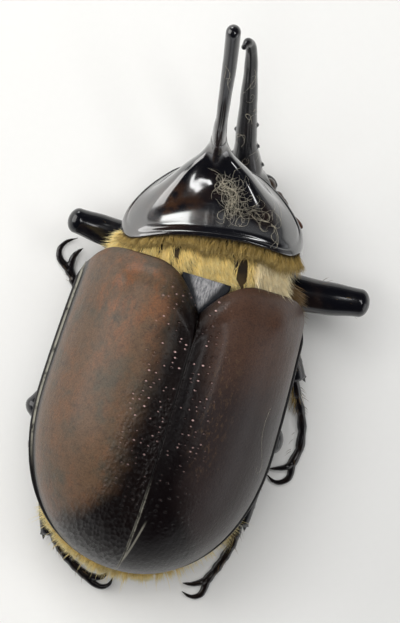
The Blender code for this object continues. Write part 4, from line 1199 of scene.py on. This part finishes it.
@dataclass
class Head:
    """The head with its long horn, eyes, feelers and mouthparts."""

    length: float = 5.2
    eye: float = 0.85
    eye_place: tuple = (2.75, 0.1, 0.1)
    horn_path: tuple = (
        (1.9, 20.4, 5.6), (1.4, 21.6, 7.0), (0.4, 23.95, 9.6), (-0.7, 26.9, 13.3),
        (-1.56, 29.2, 16.3), (-2.2, 30.7, 18.2), (-2.7, 31.1, 19.3), (-3.0, 30.6, 20.0),
    )
    horn_widths: tuple = (2.0, 1.4, 0.92, 0.74, 0.58, 0.48, 0.38, 0.24)
    horn_depths: tuple = (1.5, 1.25, 0.95, 0.78, 0.62, 0.5, 0.4, 0.24)
    horn_teeth: tuple = ((1.15, 1, 0.26), (1.75, 1, 0.3), (2.35, 1, 0.12), (1.5, -1, 0.05), (2.2, -1, 0.05))

    def skull(self) -> list[bmesh.types.BMesh]:
        """The head's own pieces, in its frame: box, brow over each eye and the two front teeth."""
        half = self.length / 2
        levels = ((-half, 0.1), (0.9 - half, 0.1), (-0.2, 0.15), (1.0, 0.15), (2.0, 0.05), (half, 0))
        path = [(0, y, z) for y, z in levels]
        widths = (2.3, 3.0, 3.1, 2.75, 2.1, 1.6)
        heights = (1.1, 1.6, 1.75, 1.6, 1.05, 0.55)
        pieces = [tube(path, widths, heights, UP, columns=56, rows=70, power=2.4, cap=0.05, blunt=(0.3, 0.3))]
        for _, side in SIDES:
            tooth = sided(side, (0.75, half - 0.5, 0.1), (0.85, half + 0.35, 0.35), (0.9, half + 0.75, 0.8))
            pieces.append(tube(tooth, (0.5, 0.4, 0.14), (0.4, 0.3, 0.14), (1, 0, 0), columns=16, rows=20))
            brow = sided(side, (2.0, 1.5, 0.35), (2.95, 0.95, 0.35), (3.35, 0.25, 0.3), (3.2, -0.4, 0.25))
            pieces.append(tube(brow, (0.25, 0.3, 0.24, 0.1), (0.2, 0.17, 0.14, 0.1), UP, columns=14, rows=24))
        return pieces

    def horn(self) -> list[bmesh.types.BMesh]:
        """The horn with a ridge along its front, small teeth and a hooked tip, in the beetle's frame."""
        path = Path(self.horn_path)
        up = Vector((0, -0.7, 1))
        body = Tube(path, self.horn_widths, self.horn_depths, up, columns=40, rows=150, power=2.3, cap=0.03)
        pieces = [body.mesh()]
        for position, side, length in self.horn_teeth:
            t = position / (len(self.horn_path) - 1)
            along = path.heading(t)
            across = along.cross(up).normalized() * side
            edge = path.at(t) + across * value_at(self.horn_widths, t)
            points = [edge - across * 0.6, edge - across * 0.05 + along * 0.1, edge + across * length * 0.5]
            pieces.append(rod(points, (0.34, 0.24, 0.08), along, 14, 18))
        crest = up.normalized()
        ridge = [path.at(t / 12) + crest * value_at(self.horn_depths, t / 12) * 0.86 for t in range(3, 12)]
        pieces.append(rod(ridge, (0.22, 0.2, 0.12), (1, 0, 0), 12, 60))
        return pieces

    def feeler(self, side: int) -> list[bmesh.types.BMesh]:
        """One antenna, in the head's frame: a long first joint, small beads and three leaves."""
        root, *steps = sided(side, (2.3, 0.7, -1.1), (1.3, 0.3, -0.5), (2.1, -0.4, -1.0), (2.2, -1.4, -1.3))
        path = Path([root, *(root + step for step in steps)])
        pieces = [rod([path.at(t) for t in (0, 0.2, 0.42)], (0.25, 0.3, 0.36), UP, 20, 40)]
        pieces += [ball(path.at(0.5 + bead * 0.09), (0.27, 0.24, 0.27), 14, 10) for bead in range(6)]
        for turn in (-26, 0, 26):
            leaf = ball((0, -0.9, 0), (0.24, 1.15, 0.48), 18, 14)
            place = Matrix.Translation(path.at(1.0)) @ turned(z=side * 12 + turn)
            bmesh.ops.transform(leaf, matrix=place, verts=leaf.verts)
            pieces.append(leaf)
        return pieces

    def mouth(self) -> None:
        """Jaws and lower lip."""
        lip = [ball((0, 0.2, -2.1), (0.95, 1.6, 0.6), 32, 20)]
        for name, side in SIDES:
            points = sided(side, (1.5, 0.6, -1.5), (1.75, 1.9, -1.25), (1.3, 3.1, -0.95), (0.9, 3.5, -0.8))
            jaw = tube(points, (0.6, 0.65, 0.45, 0.2), (0.4, 0.38, 0.3, 0.2), UP, columns=24, rows=36)
            show(f"jaw_{name}", joined([jaw], HEAD), Finish.GLOSS, f"mandible_{name}")
            marks = sided(side, (0.6, 0.8, -2.2), (1.2, 1.6, -2.75), (1.15, 2.5, -2.8), (0.8, 3.1, -2.6))
            for a, b in zip(marks, marks[1:]):
                lip.append(rod([a, blend(a, b, 0.5), b], (0.2, 0.28, 0.22), UP, 12, 16))
        show("lower_lip", melted(joined(lip, HEAD), 0.06, 3), Finish.BELLY, "labium")

    def build(self) -> dict[str, BVHTree]:
        """Makes and dresses the head's pieces."""
        pieces = self.skull()
        for bm in pieces:
            bmesh.ops.transform(bm, matrix=HEAD, verts=bm.verts)
        skull = melted(joined(pieces + self.horn()), 0.075, 4)
        trees = {"head": tree_of(skull)}
        show("head_and_horn", skull, Finish.HORN, "head", "cephalic_horn")
        for name, side in SIDES:
            bulb = ball(*sided(side, self.eye_place), (self.eye * 0.85, self.eye, self.eye), 48, 32)
            show(f"eye_ball_{name}", joined([bulb], HEAD), Finish.EYE, f"eye_{name}")
            feeler = melted(joined(self.feeler(side), HEAD), 0.055, 2)
            show(f"feeler_{name}", feeler, Finish.ANTENNA, f"antenna_{name}")
        self.mouth()
        return trees


# Half width of the shin and the number of its teeth, for each pair of legs.
SHIN_SIZES = {"fore": (1.0, 3), "mid": (0.75, 2), "hind": (0.8, 2)}


@dataclass
class Leg:
    """One leg: joints, foot and claws as points of the beetle's frame, and the sizes of its pieces."""

    name: str
    hip: tuple
    knee: tuple
    ankle: tuple
    foot: tuple
    claws: tuple
    thigh: float
    bow: tuple = (0.0, 0.0, 0.0)

    def __post_init__(self) -> None:
        """Finds the leg's side, and its shin's half width and teeth from the pair that it belongs to."""
        pair, hand = self.name.split("_")
        self.side = dict(SIDES)[hand]
        self.shin, self.teeth = SHIN_SIZES[pair]

    def coxa(self) -> bpy.types.Mesh:
        """The round first joint."""
        return joined([ball(self.hip, (1.9, 1.5, 1.35), 40, 28)])

    def femur(self) -> bpy.types.Mesh:
        """The thigh."""
        hip, knee = Vector(self.hip), Vector(self.knee)
        widths = [self.thigh * share for share in (0.8, 1.0, 1.08, 1.02, 0.86)]
        heights = [self.thigh * share for share in (0.7, 0.86, 0.9, 0.86, 0.76)]
        middle = blend(hip, knee, 0.5) + Vector(self.bow)
        return joined([
            tube([hip, middle, knee], widths, heights, UP, columns=36, rows=60, cap=0.12, blunt=(1.0, 0.8))
        ])

    def frame(self) -> tuple[Vector, Vector, Vector]:
        """Direction of the shin, its upper side and the side of its teeth."""
        along = (Vector(self.ankle) - Vector(self.knee)).normalized()
        up = (Vector(UP) - along * along.z).normalized()
        across = along.cross(up).normalized()
        return along, up, -across if across.x * self.side < 0 else across

    def tibia(self) -> bpy.types.Mesh:
        """The shin with its teeth and end spurs."""
        knee, ankle, shin = Vector(self.knee), Vector(self.ankle), self.shin
        along, up, across = self.frame()
        widths, heights = (shin * 0.62, shin * 0.85, shin * 1.1), (shin * 0.6, shin * 0.7, shin * 0.72)
        path = [knee, blend(knee, ankle, 0.5), ankle]
        pieces = [tube(path, widths, heights, up, columns=28, rows=56, cap=0.08)]
        for k in range(self.teeth):
            start = blend(knee, ankle, 0.98 - 0.23 * k) + across * shin * 0.35
            reach = 0.75 if self.teeth > 2 else 0.8
            tip = start + across * shin * (reach - 0.15 * k) + along * 0.45
            pieces.append(spike([start, blend(start, tip, 0.5), tip], 0.42, up))
        for side in (-1, 1):
            start = ankle + across * side * shin * 0.72 - along * 0.35
            middle = start + along * 0.6 + across * side * 0.05
            pieces.append(spike([start, middle, start + along * 1.2 + across * side * 0.2], 0.26, up))
        return melted(joined(pieces), 0.06, 2)

    def foot_marks(self) -> list[Vector]:
        """The ends of the five foot joints."""
        path = Path([self.ankle, *self.foot])
        steps = 40
        marks = [path.at(i / steps) for i in range(steps + 1)]
        lengths = [0.0]
        for a, b in zip(marks, marks[1:]):
            lengths.append(lengths[-1] + (b - a).length)
        places = []
        for joint in range(6):
            wanted = blend(0.45, lengths[-1], joint / 5)
            i = min(max(k for k, length in enumerate(lengths) if length <= wanted), steps - 1)
            share = (wanted - lengths[i]) / (lengths[i + 1] - lengths[i])
            places.append(blend(marks[i], marks[i + 1], share))
        return places

    def tarsus(self) -> bpy.types.Mesh:
        """The foot: five joints and a pair of hooked claws."""
        places = self.foot_marks()
        pieces = []
        for near, far in zip(places, places[1:]):
            along = (far - near).normalized()
            points = [near - along * 0.25, near + along * 0.2, blend(near, far, 0.72), far + along * 0.03]
            pieces.append(rod(points, (0.3, 0.36, 0.43, 0.37), UP, 16, 26, 0.08))
        for marks in self.claws:
            hook = [places[-1] - along * 0.2, *marks]
            pieces.append(rod(hook, (0.36, 0.3, 0.24, 0.16, 0.05), UP, 14, 36))
        skin = melted(joined(pieces), 0.055, 2)
        for vert in skin.vertices:
            vert.co.z = max(vert.co.z, 0.0)
        return skin

    def build(self) -> None:
        """Makes and dresses the four pieces."""
        for part, mesh, finish, node in (
            ("hip", self.coxa(), Finish.BELLY, "coxa"),
            ("thigh", self.femur(), Finish.LEG, "femur"),
            ("shin", self.tibia(), Finish.LEG, "tibia"),
            ("foot", self.tarsus(), Finish.FOOT, "tarsus"),
        ):
            show(f"{part}_{self.name}", mesh, finish, f"{node}_{self.name}")


def on_prothorax(x: float, y: float, z: float) -> tuple:
    """Point of the beetle's frame from one of the prothorax."""
    return tuple(PROTHORAX @ Vector((x, y, z)))


def all_legs() -> list[Leg]:
    """The six legs in the photographed pose."""
    return [
        Leg(
            "fore_left", on_prothorax(-2.3, 5.6, -9.9), (-11.15, 13.2, 8.6), (-6.9, 12.6, 1.5),
            ((-6.4, 12.4, 1.1), (-4.9, 11.3, 0.55), (-3.9, 9.4, 0.5), (-3.6, 8.0, 0.5)),
            (((-4.3, 7.2, 0.5), (-4.2, 6.2, 0.45)), ((-2.9, 7.2, 0.5), (-3.0, 6.3, 0.45))),
            thigh=1.25,
        ),
        Leg(
            "fore_right", on_prothorax(2.3, 5.6, -9.9), (13.9, 13.45, 8.0), (7.4, 12.6, 1.5),
            ((6.9, 12.3, 1.1), (5.4, 10.8, 0.55), (4.5, 8.9, 0.5), (4.3, 7.7, 0.5)),
            (((3.6, 6.9, 0.5), (3.8, 5.9, 0.45)), ((5.0, 6.9, 0.5), (5.0, 6.0, 0.45))),
            thigh=1.4, bow=(0.0, -0.7, 0.25),
        ),
        Leg(
            "mid_left", (-4.0, 5.2, 5.0), (-9.7, -3.0, 6.6), (-8.0, 5.2, 1.5),
            ((-7.9, 5.8, 1.2), (-8.5, 7.0, 0.8), (-9.35, 8.3, 0.6), (-10.1, 9.15, 0.5)),
            (
                ((-11.0, 9.7, 0.6), (-11.3, 10.5, 0.55), (-10.9, 11.3, 0.5), (-10.1, 11.85, 0.5)),
                ((-10.0, 10.1, 0.75), (-9.75, 10.7, 0.7), (-9.4, 11.15, 0.7)),
            ),
            thigh=1.3,
        ),
        Leg(
            "mid_right", (4.0, 5.2, 5.0), (8.1, 11.2, 6.0), (11.2, 5.9, 2.4),
            ((11.5, 4.9, 1.9), (12.8, 2.9, 1.0), (13.6, 0.4, 0.55), (13.3, -1.6, 0.5)),
            (
                ((13.45, -2.6, 0.5), (12.9, -3.25, 0.5), (12.2, -3.35, 0.45), (11.5, -2.95, 0.4)),
                ((12.9, -1.85, 0.8), (12.2, -2.2, 0.75), (11.5, -2.4, 0.7)),
            ),
            thigh=1.3,
        ),
        Leg(
            "hind_left", (-3.7, -1.6, 5.0), (-8.4, -6.2, 4.6), (-5.2, -12.7, 2.0),
            ((-4.7, -13.2, 1.7), (-3.7, -14.2, 0.9), (-2.2, -15.2, 0.55), (-0.9, -15.8, 0.5)),
            (
                ((-0.2, -16.2, 0.55), (0.6, -16.3, 0.5), (1.15, -15.9, 0.5), (1.3, -15.2, 0.45)),
                ((0.0, -15.6, 0.8), (0.5, -15.3, 0.8), (0.75, -14.8, 0.8)),
            ),
            thigh=1.4,
        ),
        Leg(
            "hind_right", (3.7, -1.6, 5.0), (10.6, 0.2, 5.0), (10.15, -7.35, 2.2),
            ((10.3, -8.2, 1.8), (10.25, -9.9, 1.0), (9.65, -12.0, 0.55), (9.1, -13.3, 0.5)),
            (
                ((9.1, -14.3, 0.5), (8.7, -14.8, 0.5), (8.1, -14.95, 0.45), (7.4, -14.75, 0.4)),
                ((8.6, -13.55, 0.8), (7.9, -13.9, 0.75), (7.2, -14.0, 0.7)),
            ),
            thigh=1.4,
        ),
    ]


class Clumps:
    """Locks that neighbouring hairs join: each has its own lean and length."""

    def __init__(self, rng: random.Random, count: int, lean: float) -> None:
        """Draws the locks, spread evenly over shares from 0 to 1."""
        self.count = count
        self.leans = [rng.gauss(0, lean) for _ in range(count)]
        self.sizes = [rng.uniform(0.72, 1.15) for _ in range(count)]

    def of(self, share: float) -> tuple[float, float, float]:
        """Lean, length factor and middle share of the lock at a share."""
        i = min(int(share * self.count), self.count - 1)
        return self.leans[i], self.sizes[i], (i + 0.5) / self.count


def patch_at(share: float, row: float) -> tuple[float, float]:
    """A root's place on the unwrap of the skin, for its share of the way across."""
    return 0.05 + 0.88 * share, row


@dataclass
class Coat:
    """Ruff, flank hair, fringe, the bristles and brushes of the legs and the lint on the shell.

    A single fibre is its skin, its lift over it and its points in plan; a bare spot of the ruff is an
    oval in plan, its centre and half sizes. Near the middle the ruff reaches a little over the small
    shield, about as far as middle_limit.
    """

    skins: dict[str, BVHTree]
    cases: WingCases
    prothorax: Prothorax
    edge_count: int = 5200
    edge_reach: float = 84.0
    neck_count: int = 6900
    neck_reach: float = 122.0
    fringe_count: int = 5200
    fringe_ends: tuple = (-62.0, 86.0)
    fringe_y: float = -6.5
    brush_count: int = 150
    lint_count: int = 92
    horn_lint_count: int = 16
    fibre_steps: int = 16
    sunk: float = 0.15
    lowest: float = 0.06
    single_fibres: tuple = (
        ("cases", 0.05, (
            (8.2, 2.9), (8.05, 1.5), (8.25, 0.0), (8.75, -1.2),
            (9.05, -2.0), (8.95, -2.6), (8.6, -2.5), (8.55, -2.0),
        )),
        ("head", 0.15, ((-1.35, 29.26), (-1.04, 28.76), (-1.15, 27.97), (-1.48, 27.12))),
        ("head", 0.15, ((-1.0, 28.1), (-1.3, 27.3), (-1.1, 26.4), (-1.35, 25.6))),
        ("shield", 0.15, ((-4.31, 28.55), (-3.7, 28.01), (-3.6, 27.3), (-3.05, 26.64))),
        ("shield", 0.15, ((-4.1, 28.2), (-3.95, 27.6), (-3.5, 27.7), (-3.6, 27.0))),
    )
    middle_half: float = 2.3
    middle_limit: float = 10.95
    bare_spots: tuple = (
        (-2.85, 12.9, 0.2, 0.65), (-4.35, 12.8, 0.16, 0.4), (-4.75, 12.95, 0.1, 0.25),
        (2.75, 12.95, 0.42, 1.1), (3.15, 12.5, 0.22, 0.6), (0.6, 14.0, 0.55, 0.1),
        (1.6, 13.95, 0.5, 0.12), (2.6, 14.0, 0.35, 0.14),
    )

    def bare(self, *places: Vector) -> bool:
        """Whether one of the points lies in a dark gap of the ruff."""
        return any(
            ((place.x - x) / a) ** 2 + ((place.y - y) / b) ** 2 < 1
            for place in places for x, y, a, b in self.bare_spots
        )

    def edge_hair(self) -> None:
        """Short golden hair from under the hind edge of the shield."""
        hair = Strands(7, 0.04)
        rng, clumps = hair.rng, Clumps(hair.rng, 74, 0.3)
        for _ in range(self.edge_count):
            share = rng.random()
            lean, size, middle = clumps.of(share)
            angle, centre_angle = (
                math.radians(blend(-self.edge_reach, self.edge_reach, part) - 90) for part in (share, middle)
            )
            root = PROTHORAX @ self.prothorax.wall(angle, rng.uniform(0.72, 0.96))
            centre = PROTHORAX @ self.prothorax.wall(centre_angle, 0.85)
            aside = ease(abs(root.x), 4.5, 7.5) * math.copysign(0.5, root.x)
            back = Vector((aside + lean + rng.gauss(0, 0.22), -1, 0))
            start = (back + Vector((0, 0, rng.uniform(0.15, 0.75)))).normalized()
            end = (back + Vector((0, 0, rng.uniform(-0.5, 0.15)))).normalized()
            length = blend(1.05, 1.7, ease(root.x, -5.0, 0.0)) * size * rng.uniform(0.7, 1.1)
            if self.bare(root + start * length, root + start * length * 0.7):
                continue
            pull = (centre - root) * 0.3
            hair.add(root, start, end, length, patch_at(share, 0.1), rng.uniform(0.6, 1.2), pull)
        show("ruff_edge_hair", hair.mesh(), Finish.GOLD)

    def neck_hair(self) -> None:
        """Dense straw-coloured hair on the neck, lying back to the bases of the cases."""
        hair = Strands(8, 0.042)
        rng = hair.rng
        across, back_rows = Clumps(rng, 60, 0.22), Clumps(rng, 5, 0.15)
        for _ in range(self.neck_count):
            share, back = rng.random(), rng.random()
            lean, size, middle = across.of(share)
            degrees = blend(-self.neck_reach, self.neck_reach, share)
            angle = math.radians(degrees)
            y = 14.5 - 2.6 * back + 0.06 * degrees / 9
            axis = Vector((-0.4, min(y, 14.7), 12.2))
            outward = Vector((math.sin(angle), 0, math.cos(angle)))
            place, normal = hit(self.skins["neck"], axis + outward * 12, axis)
            if place is None:
                continue
            swirl = bell(place.x + 0.3, 3.0) - 0.3 * ease(place.x, -3.5, -7.0)
            swirl += 0.25 * ease(place.x, 4.0, 7.0)
            aside = Vector((lean + swirl + rng.gauss(0, 0.2), -1, 0))
            start = (aside + normal * rng.uniform(0.25, 0.7)).normalized()
            end = (aside + normal * rng.uniform(-0.4, 0.1)).normalized()
            if place.z > 13.5:
                over = 0.75 * bell(place.x + 4.6, 2.2)
                limit = self.cases.front_y(abs(place.x) / 9.4) - 0.15 - over
                if abs(place.x) < self.middle_half:
                    limit = self.middle_limit
                limit += rng.gauss(0, 0.2)
                length = min(2.6 * size * rng.uniform(0.75, 1.1), (place.y - limit) * 1.15)
            else:
                length = 2.2 * size * rng.uniform(0.7, 1.1)
            if length < 0.4 or self.bare(*(place + start * length * part for part in (0.4, 0.75, 1.0))):
                continue
            lock_angle = math.radians(blend(-self.neck_reach, self.neck_reach, middle))
            aside = (math.sin(lock_angle) - math.sin(angle)) * 3.0 * (0.7 + back_rows.of(back)[0])
            patch = patch_at(share, 0.2 + 0.6 * back)
            root, thick = place - normal * self.sunk, rng.uniform(0.6, 1.25)
            hair.add(root, start, end, length, patch, thick, (aside, 0, 0))
        show("ruff_neck_hair", hair.mesh(), Finish.STRAW)

    def tuft(
        self, seed: int, count: int, low: tuple, high: tuple, aim: tuple, length: float
    ) -> bpy.types.Mesh:
        """A loose tuft on the neck.

        Args:
            seed: what its random draws start from.
            count: how many hairs it has.
            low: lowest corner of the box that its roots lie near.
            high: highest corner of that box.
            aim: where its hairs point.
            length: about the length of its longest hairs.

        Returns:
            The tuft's mesh.
        """
        hair = Strands(seed)
        rng, clumps = hair.rng, Clumps(hair.rng, 24, 0.3)
        for _ in range(count):
            share = rng.random()
            lean, size, _ = clumps.of(share)
            shares = (share, rng.random(), rng.random())
            near = Vector([blend(a, b, part) for a, b, part in zip(low, high, shares)])
            place, normal, _, _ = self.skins["neck"].find_nearest(near)
            start = Vector(aim) + normal * rng.uniform(0.1, 0.6) + Vector((lean, 0, rng.gauss(0, 0.1)))
            start.normalize()
            end = (start + Vector((rng.gauss(0, 0.12), 0, rng.uniform(-0.7, 0.0)))).normalized()
            root, reach = blend(place, near, 0.15), length * size * rng.uniform(0.5, 1.1)
            hair.add(root, start, end, reach, patch_at(share, 0.85), rng.uniform(0.6, 1.2))
        return hair.mesh()

    def tufts(self) -> None:
        """The pale tuft at the ruff's right end and the hair on both flanks."""
        pale = self.tuft(21, 1300, (3.5, 13.1, 15.2), (7.4, 14.9, 15.7), (0.5, -1.0, 0.5), 2.3)
        right = self.tuft(22, 500, (6.2, 11.0, 10.6), (8.2, 13.6, 12.6), (0.9, -0.55, 0.15), 2.3)
        left = self.tuft(23, 260, (-7.6, 12.0, 11.2), (-6.6, 13.6, 13.2), (-0.8, -0.5, 0.3), 1.5)
        show("ruff_pale_tuft", pale, Finish.PALE)
        show("flank_hair", right, Finish.TAN)
        show("flank_hair_left", left, Finish.STRAW)

    def margin(self, outward: Vector) -> float:
        """Distance from the middle of the fringe to the margin of the cases."""
        reach = 4.0
        while reach < 14.0:
            x, y = outward.x * reach, self.fringe_y + outward.y * reach
            if y < PLAN_END_Y + 0.01 or abs(x) > self.cases.half_width_at(y) + 0.25:
                break
            reach += 0.05
        return reach

    def fringe(self) -> None:
        """The golden fringe along the hind margin, short, with a few long hairs, sparse to the right."""
        hair = Strands(11)
        rng, clumps = hair.rng, Clumps(hair.rng, 60, 0.16)
        for _ in range(self.fringe_count):
            share = rng.random()
            lean, size, _ = clumps.of(share)
            degrees = blend(*self.fringe_ends, share)
            fade = ease(degrees, self.fringe_ends[0], -50) * (1 - 0.82 * ease(degrees, 26, 44))
            if rng.random() > fade:
                continue
            angle = math.radians(degrees)
            outward = Vector((math.sin(angle), -math.cos(angle), 0))
            low = rng.random()
            centre = Vector((0.0, self.fringe_y, 9.4 - 1.4 * low))
            found = [hit(self.skins[name], centre + outward * 20, centre) for name in ("abdomen", "tail")]
            found = [((place - centre).length, place, normal) for place, normal in found if place is not None]
            if not found:
                continue
            away, place, normal = max(found, key=lambda entry: entry[0])
            beyond = blend(0.62, 0.95, ease(degrees, -45, -5)) * size * rng.uniform(0.55, 1.15)
            if rng.random() < 0.012:
                beyond += rng.uniform(0.5, 1.2)
            aside = Vector((outward.y, -outward.x, 0)) * (lean + rng.gauss(0, 0.14))
            start = (outward + aside + Vector((0, 0, rng.uniform(-0.15, 0.1)))).normalized()
            end = (outward + aside + Vector((0, -0.15, rng.uniform(-0.6, 0.0)))).normalized()
            length = self.margin(outward) - away + beyond + self.sunk
            patch = patch_at(share, 0.1 + 0.7 * low)
            hair.add(place - normal * self.sunk, start, end, length, patch, rng.uniform(0.6, 1.2))
        show("fringe_hair", hair.mesh(), Finish.STRAW)

    def bristles(self, legs: Sequence[Leg]) -> None:
        """Fine tan bristles along thighs, shins and feet."""
        hair = Strands(31, 0.028, 4)
        rng = hair.rng
        for number, leg in enumerate(legs):
            joints = [Vector(point) for point in (leg.hip, leg.knee, leg.ankle, leg.foot[1], leg.foot[3])]
            sizes = (leg.thigh * 0.85, leg.shin * 0.7, 0.4, 0.35)
            for part, (near, far) in enumerate(zip(joints, joints[1:])):
                along = (far - near).normalized()
                for _ in range(30 if part < 3 else 10):
                    around = along.cross(Vector([rng.gauss(0, 1) for _ in range(3)])).normalized()
                    root = blend(near, far, rng.uniform(0.25, 0.98)) + around * sizes[part] * 0.8
                    start = (around * 0.8 + along * rng.uniform(0.4, 1.2)).normalized()
                    end = (start + along * 0.6).normalized()
                    patch = (0.05 + 0.14 * number, 0.1 + 0.2 * part)
                    length = rng.uniform(0.35, 0.95)
                    if min(root.z - 0.3, (root + (start + end) * length / 2).z) > self.lowest:
                        hair.add(root, start, end, length, patch, rng.uniform(0.6, 1.1))
        show("leg_bristles", hair.mesh(), Finish.TAN)

    def brushes(self, legs: Sequence[Leg]) -> None:
        """The pale brush of hair inside the end of each mid and hind shin."""
        hair = Strands(32, 0.036)
        rng = hair.rng
        for number, leg in enumerate(legs):
            if leg.name.startswith("fore"):
                continue
            ankle, foot = Vector(leg.ankle), Vector(leg.foot[1])
            inward = Vector((-leg.side, 0, 0))
            for _ in range(self.brush_count):
                jitter = Vector((rng.gauss(0, 0.12), rng.gauss(0, 0.12), rng.gauss(0, 0.1)))
                root = blend(ankle, foot, rng.uniform(-0.1, 0.55)) + inward * 0.2 + jitter
                start = ((foot - ankle).normalized() + inward * rng.uniform(0.05, 0.6) + jitter).normalized()
                end = (start + Vector((0, -0.4, 0.05))).normalized()
                length = rng.uniform(0.8, 2.2)
                if min(root.z, (root + (start + end) * length / 2).z) > self.lowest:
                    hair.add(root, start, end, length, (0.05 + 0.14 * number, 0.9), rng.uniform(0.5, 1.0))
        show("shin_brushes", hair.mesh(), Finish.GOLD)

    def lint(self) -> None:
        """Pale fibres: a tangle on the right half of the shield and single ones elsewhere."""
        hair = Strands(41, 0.0145, self.fibre_steps, 9.0)
        rng = hair.rng
        top, right, low = Vector((-1.2, 20.2)), Vector((6.1, 16.6)), Vector((0.4, 16.9))
        spots = []
        for _ in range(self.lint_count):
            s, t = rng.random(), rng.random()
            s, t = (1 - s, 1 - t) if s + t > 1 else (s, t)
            spots.append((top + (right - top) * s**1.6 * 0.9 + (low - top) * t * 0.8, 0.16, 0.42, "shield"))
        for skin, lift, points in self.single_fibres:
            path = Path([(x, y, 0) for x, y in points])
            marks = [path.at(k / self.fibre_steps) for k in range(self.fibre_steps + 1)]
            self.laid(hair, marks, skin, lift)
        for k in range(self.horn_lint_count):
            spots.append((Vector((1.2 - 0.16 * k + rng.gauss(0, 0.3), 21.6 + 0.5 * k)), 0.13, 0.5, "head"))
        for spot, stride, turn, skin in spots:
            heading, bend = rng.uniform(0, 2 * math.pi), rng.gauss(0, turn)
            marks = [spot]
            for _ in range(self.fibre_steps):
                bend = bend * 0.8 + rng.gauss(0, turn * 0.5)
                heading += bend
                step = stride * rng.uniform(0.7, 1.2)
                marks.append(marks[-1] + Vector((math.cos(heading), math.sin(heading))) * step)
            self.laid(hair, marks, skin, rng.uniform(0.02, 0.25))
        show("lint_fibres", hair.mesh(), Finish.LINT)

    def laid(self, hair: Strands, marks: Sequence[Vector], skin: str, lift: float) -> None:
        """Adds a fibre that follows marks in plan and lies on a skin, its middle lifted."""
        points = []
        for k, mark in enumerate(marks):
            place, _ = hit(self.skins[skin], Vector((mark.x, mark.y, 30.0)), Vector((mark.x, mark.y, 0.0)))
            if place is None:
                return
            raised = 0.03 + lift * math.sin(k / self.fibre_steps * math.pi)
            points.append((place.x, place.y, place.z + raised))
        number = len(hair.marks)
        hair.follow(points, (0.05 + 0.03 * (number % 30), 0.5), 0.6 + 0.1 * (number % 6))

    def build(self, legs: Sequence[Leg]) -> None:
        """Makes and dresses the coat."""
        self.edge_hair()
        self.neck_hair()
        self.tufts()
        self.fringe()
        self.bristles(legs)
        self.brushes(legs)
        self.lint()


@dataclass
class Studio:
    """Floor, soft lights and the camera at the photograph's angle."""

    target: tuple = (0.83, 8.85, 10.3)
    distance: float = 380.0
    tilt: float = 6.0
    roll: float = 16.8
    lens: float = 261.3
    sensor: float = 36.0
    horizon: float = 0.85
    overhead: float = 0.01
    floor_reach: float = 1.5
    floor_gap: float = 0.00002
    aim_height: float = 0.008

    def floor(self) -> None:
        """A wide pale floor."""
        bm = bmesh.new()
        bmesh.ops.create_grid(bm, x_segments=4, y_segments=4, size=self.floor_reach)
        mesh = stored(bm)
        mesh.materials.append(FloorFinish().material())
        obj = linked("floor", mesh)
        obj.location.z = -self.floor_gap

    def light(
        self, name: str, place: tuple, size: tuple, energy: float, colour: Colour = (1.0, 1.0, 1.0)
    ) -> bpy.types.Object:
        """One soft light that faces the beetle; place and size are in millimetres."""
        lamp = bpy.data.lights.new(name, "AREA")
        lamp.shape = "RECTANGLE"
        lamp.size, lamp.size_y = size[0] * MM, size[1] * MM
        lamp.energy = energy
        lamp.color = colour
        obj = linked(name, lamp)
        obj.location = SHIFT + Vector(place) * MM
        obj.rotation_mode = "QUATERNION"
        away = obj.location - SHIFT - Vector((0, 0, self.aim_height))
        obj.rotation_quaternion = away.to_track_quat("Z", "Y")
        return obj

    def camera(self) -> None:
        """The camera, almost straight above, turned as in the photograph."""
        tilt, roll = math.radians(self.tilt), math.radians(self.roll)
        back = Vector((-math.sin(tilt), 0, math.cos(tilt)))
        ahead = Vector((0, 1, 0))
        across = ahead.cross(back)
        up = ahead * math.cos(roll) - across * math.sin(roll)
        right = up.cross(back)
        data = bpy.data.cameras.new("camera")
        data.lens = self.lens
        data.sensor_fit = "AUTO"
        data.sensor_width = self.sensor
        data.clip_start = 0.01
        data.clip_end = 10.0
        obj = linked("camera", data)
        place = SHIFT + (Vector(self.target) + back * self.distance) * MM
        turn = Matrix((right, up, back)).transposed().to_4x4()
        obj.matrix_world = Matrix.Translation(place) @ turn
        bpy.context.scene.camera = obj

    def world(self) -> None:
        """A surround that is bright at the horizon, dark overhead and darker beyond the head."""
        graph = Graph(bpy.data.worlds.new("surround"), "Background")
        direction = graph.node("ShaderNodeTexCoord", {}, {}, "Generated")
        _, ahead, height = graph.axes(direction)
        low = height.step(0.42, 0.02)
        glow = low * (1 - ahead.step(0.1, 0.9) * 0.75) * self.horizon + self.overhead
        bpy.context.scene.world = graph.finish({"Color": graph.mix(glow, (0.0, 0.0, 0.0), (0.97, 0.98, 1.0))})

    def build(self) -> None:
        """Sets the whole studio."""
        self.floor()
        self.light("softbox_left", (-223, 47, 102), (200, 200), 0.36, (1.0, 0.985, 0.96))
        self.light("softbox_right", (230, -30, 70), (150, 150), 0.06)
        self.light("softbox_ahead", (-118, 233, 36), (80, 60), 0.085, (0.97, 1.0, 0.98))
        self.light("lamp_above", (75, 60, 250), (110, 38), 0.085)
        ceiling = self.light("ceiling", (-78, 52, 290), (220, 220), 0.84)
        ceiling.visible_glossy = False
        self.camera()
        self.world()
        bpy.context.scene.view_settings.view_transform = "Standard"


def main() -> None:
    """Builds every piece in order."""
    logging.basicConfig(level=logging.INFO, format="%(message)s")
    cases, prothorax, legs = WingCases(), Prothorax(), all_legs()
    skins = cases.build()
    skins |= Trunk(cases).build()
    skins |= prothorax.build()
    skins |= Head().build()
    for leg in legs:
        leg.build()
    Coat(skins, cases, prothorax).build(legs)
    Studio().build()


if __name__ == "__main__":
    main()
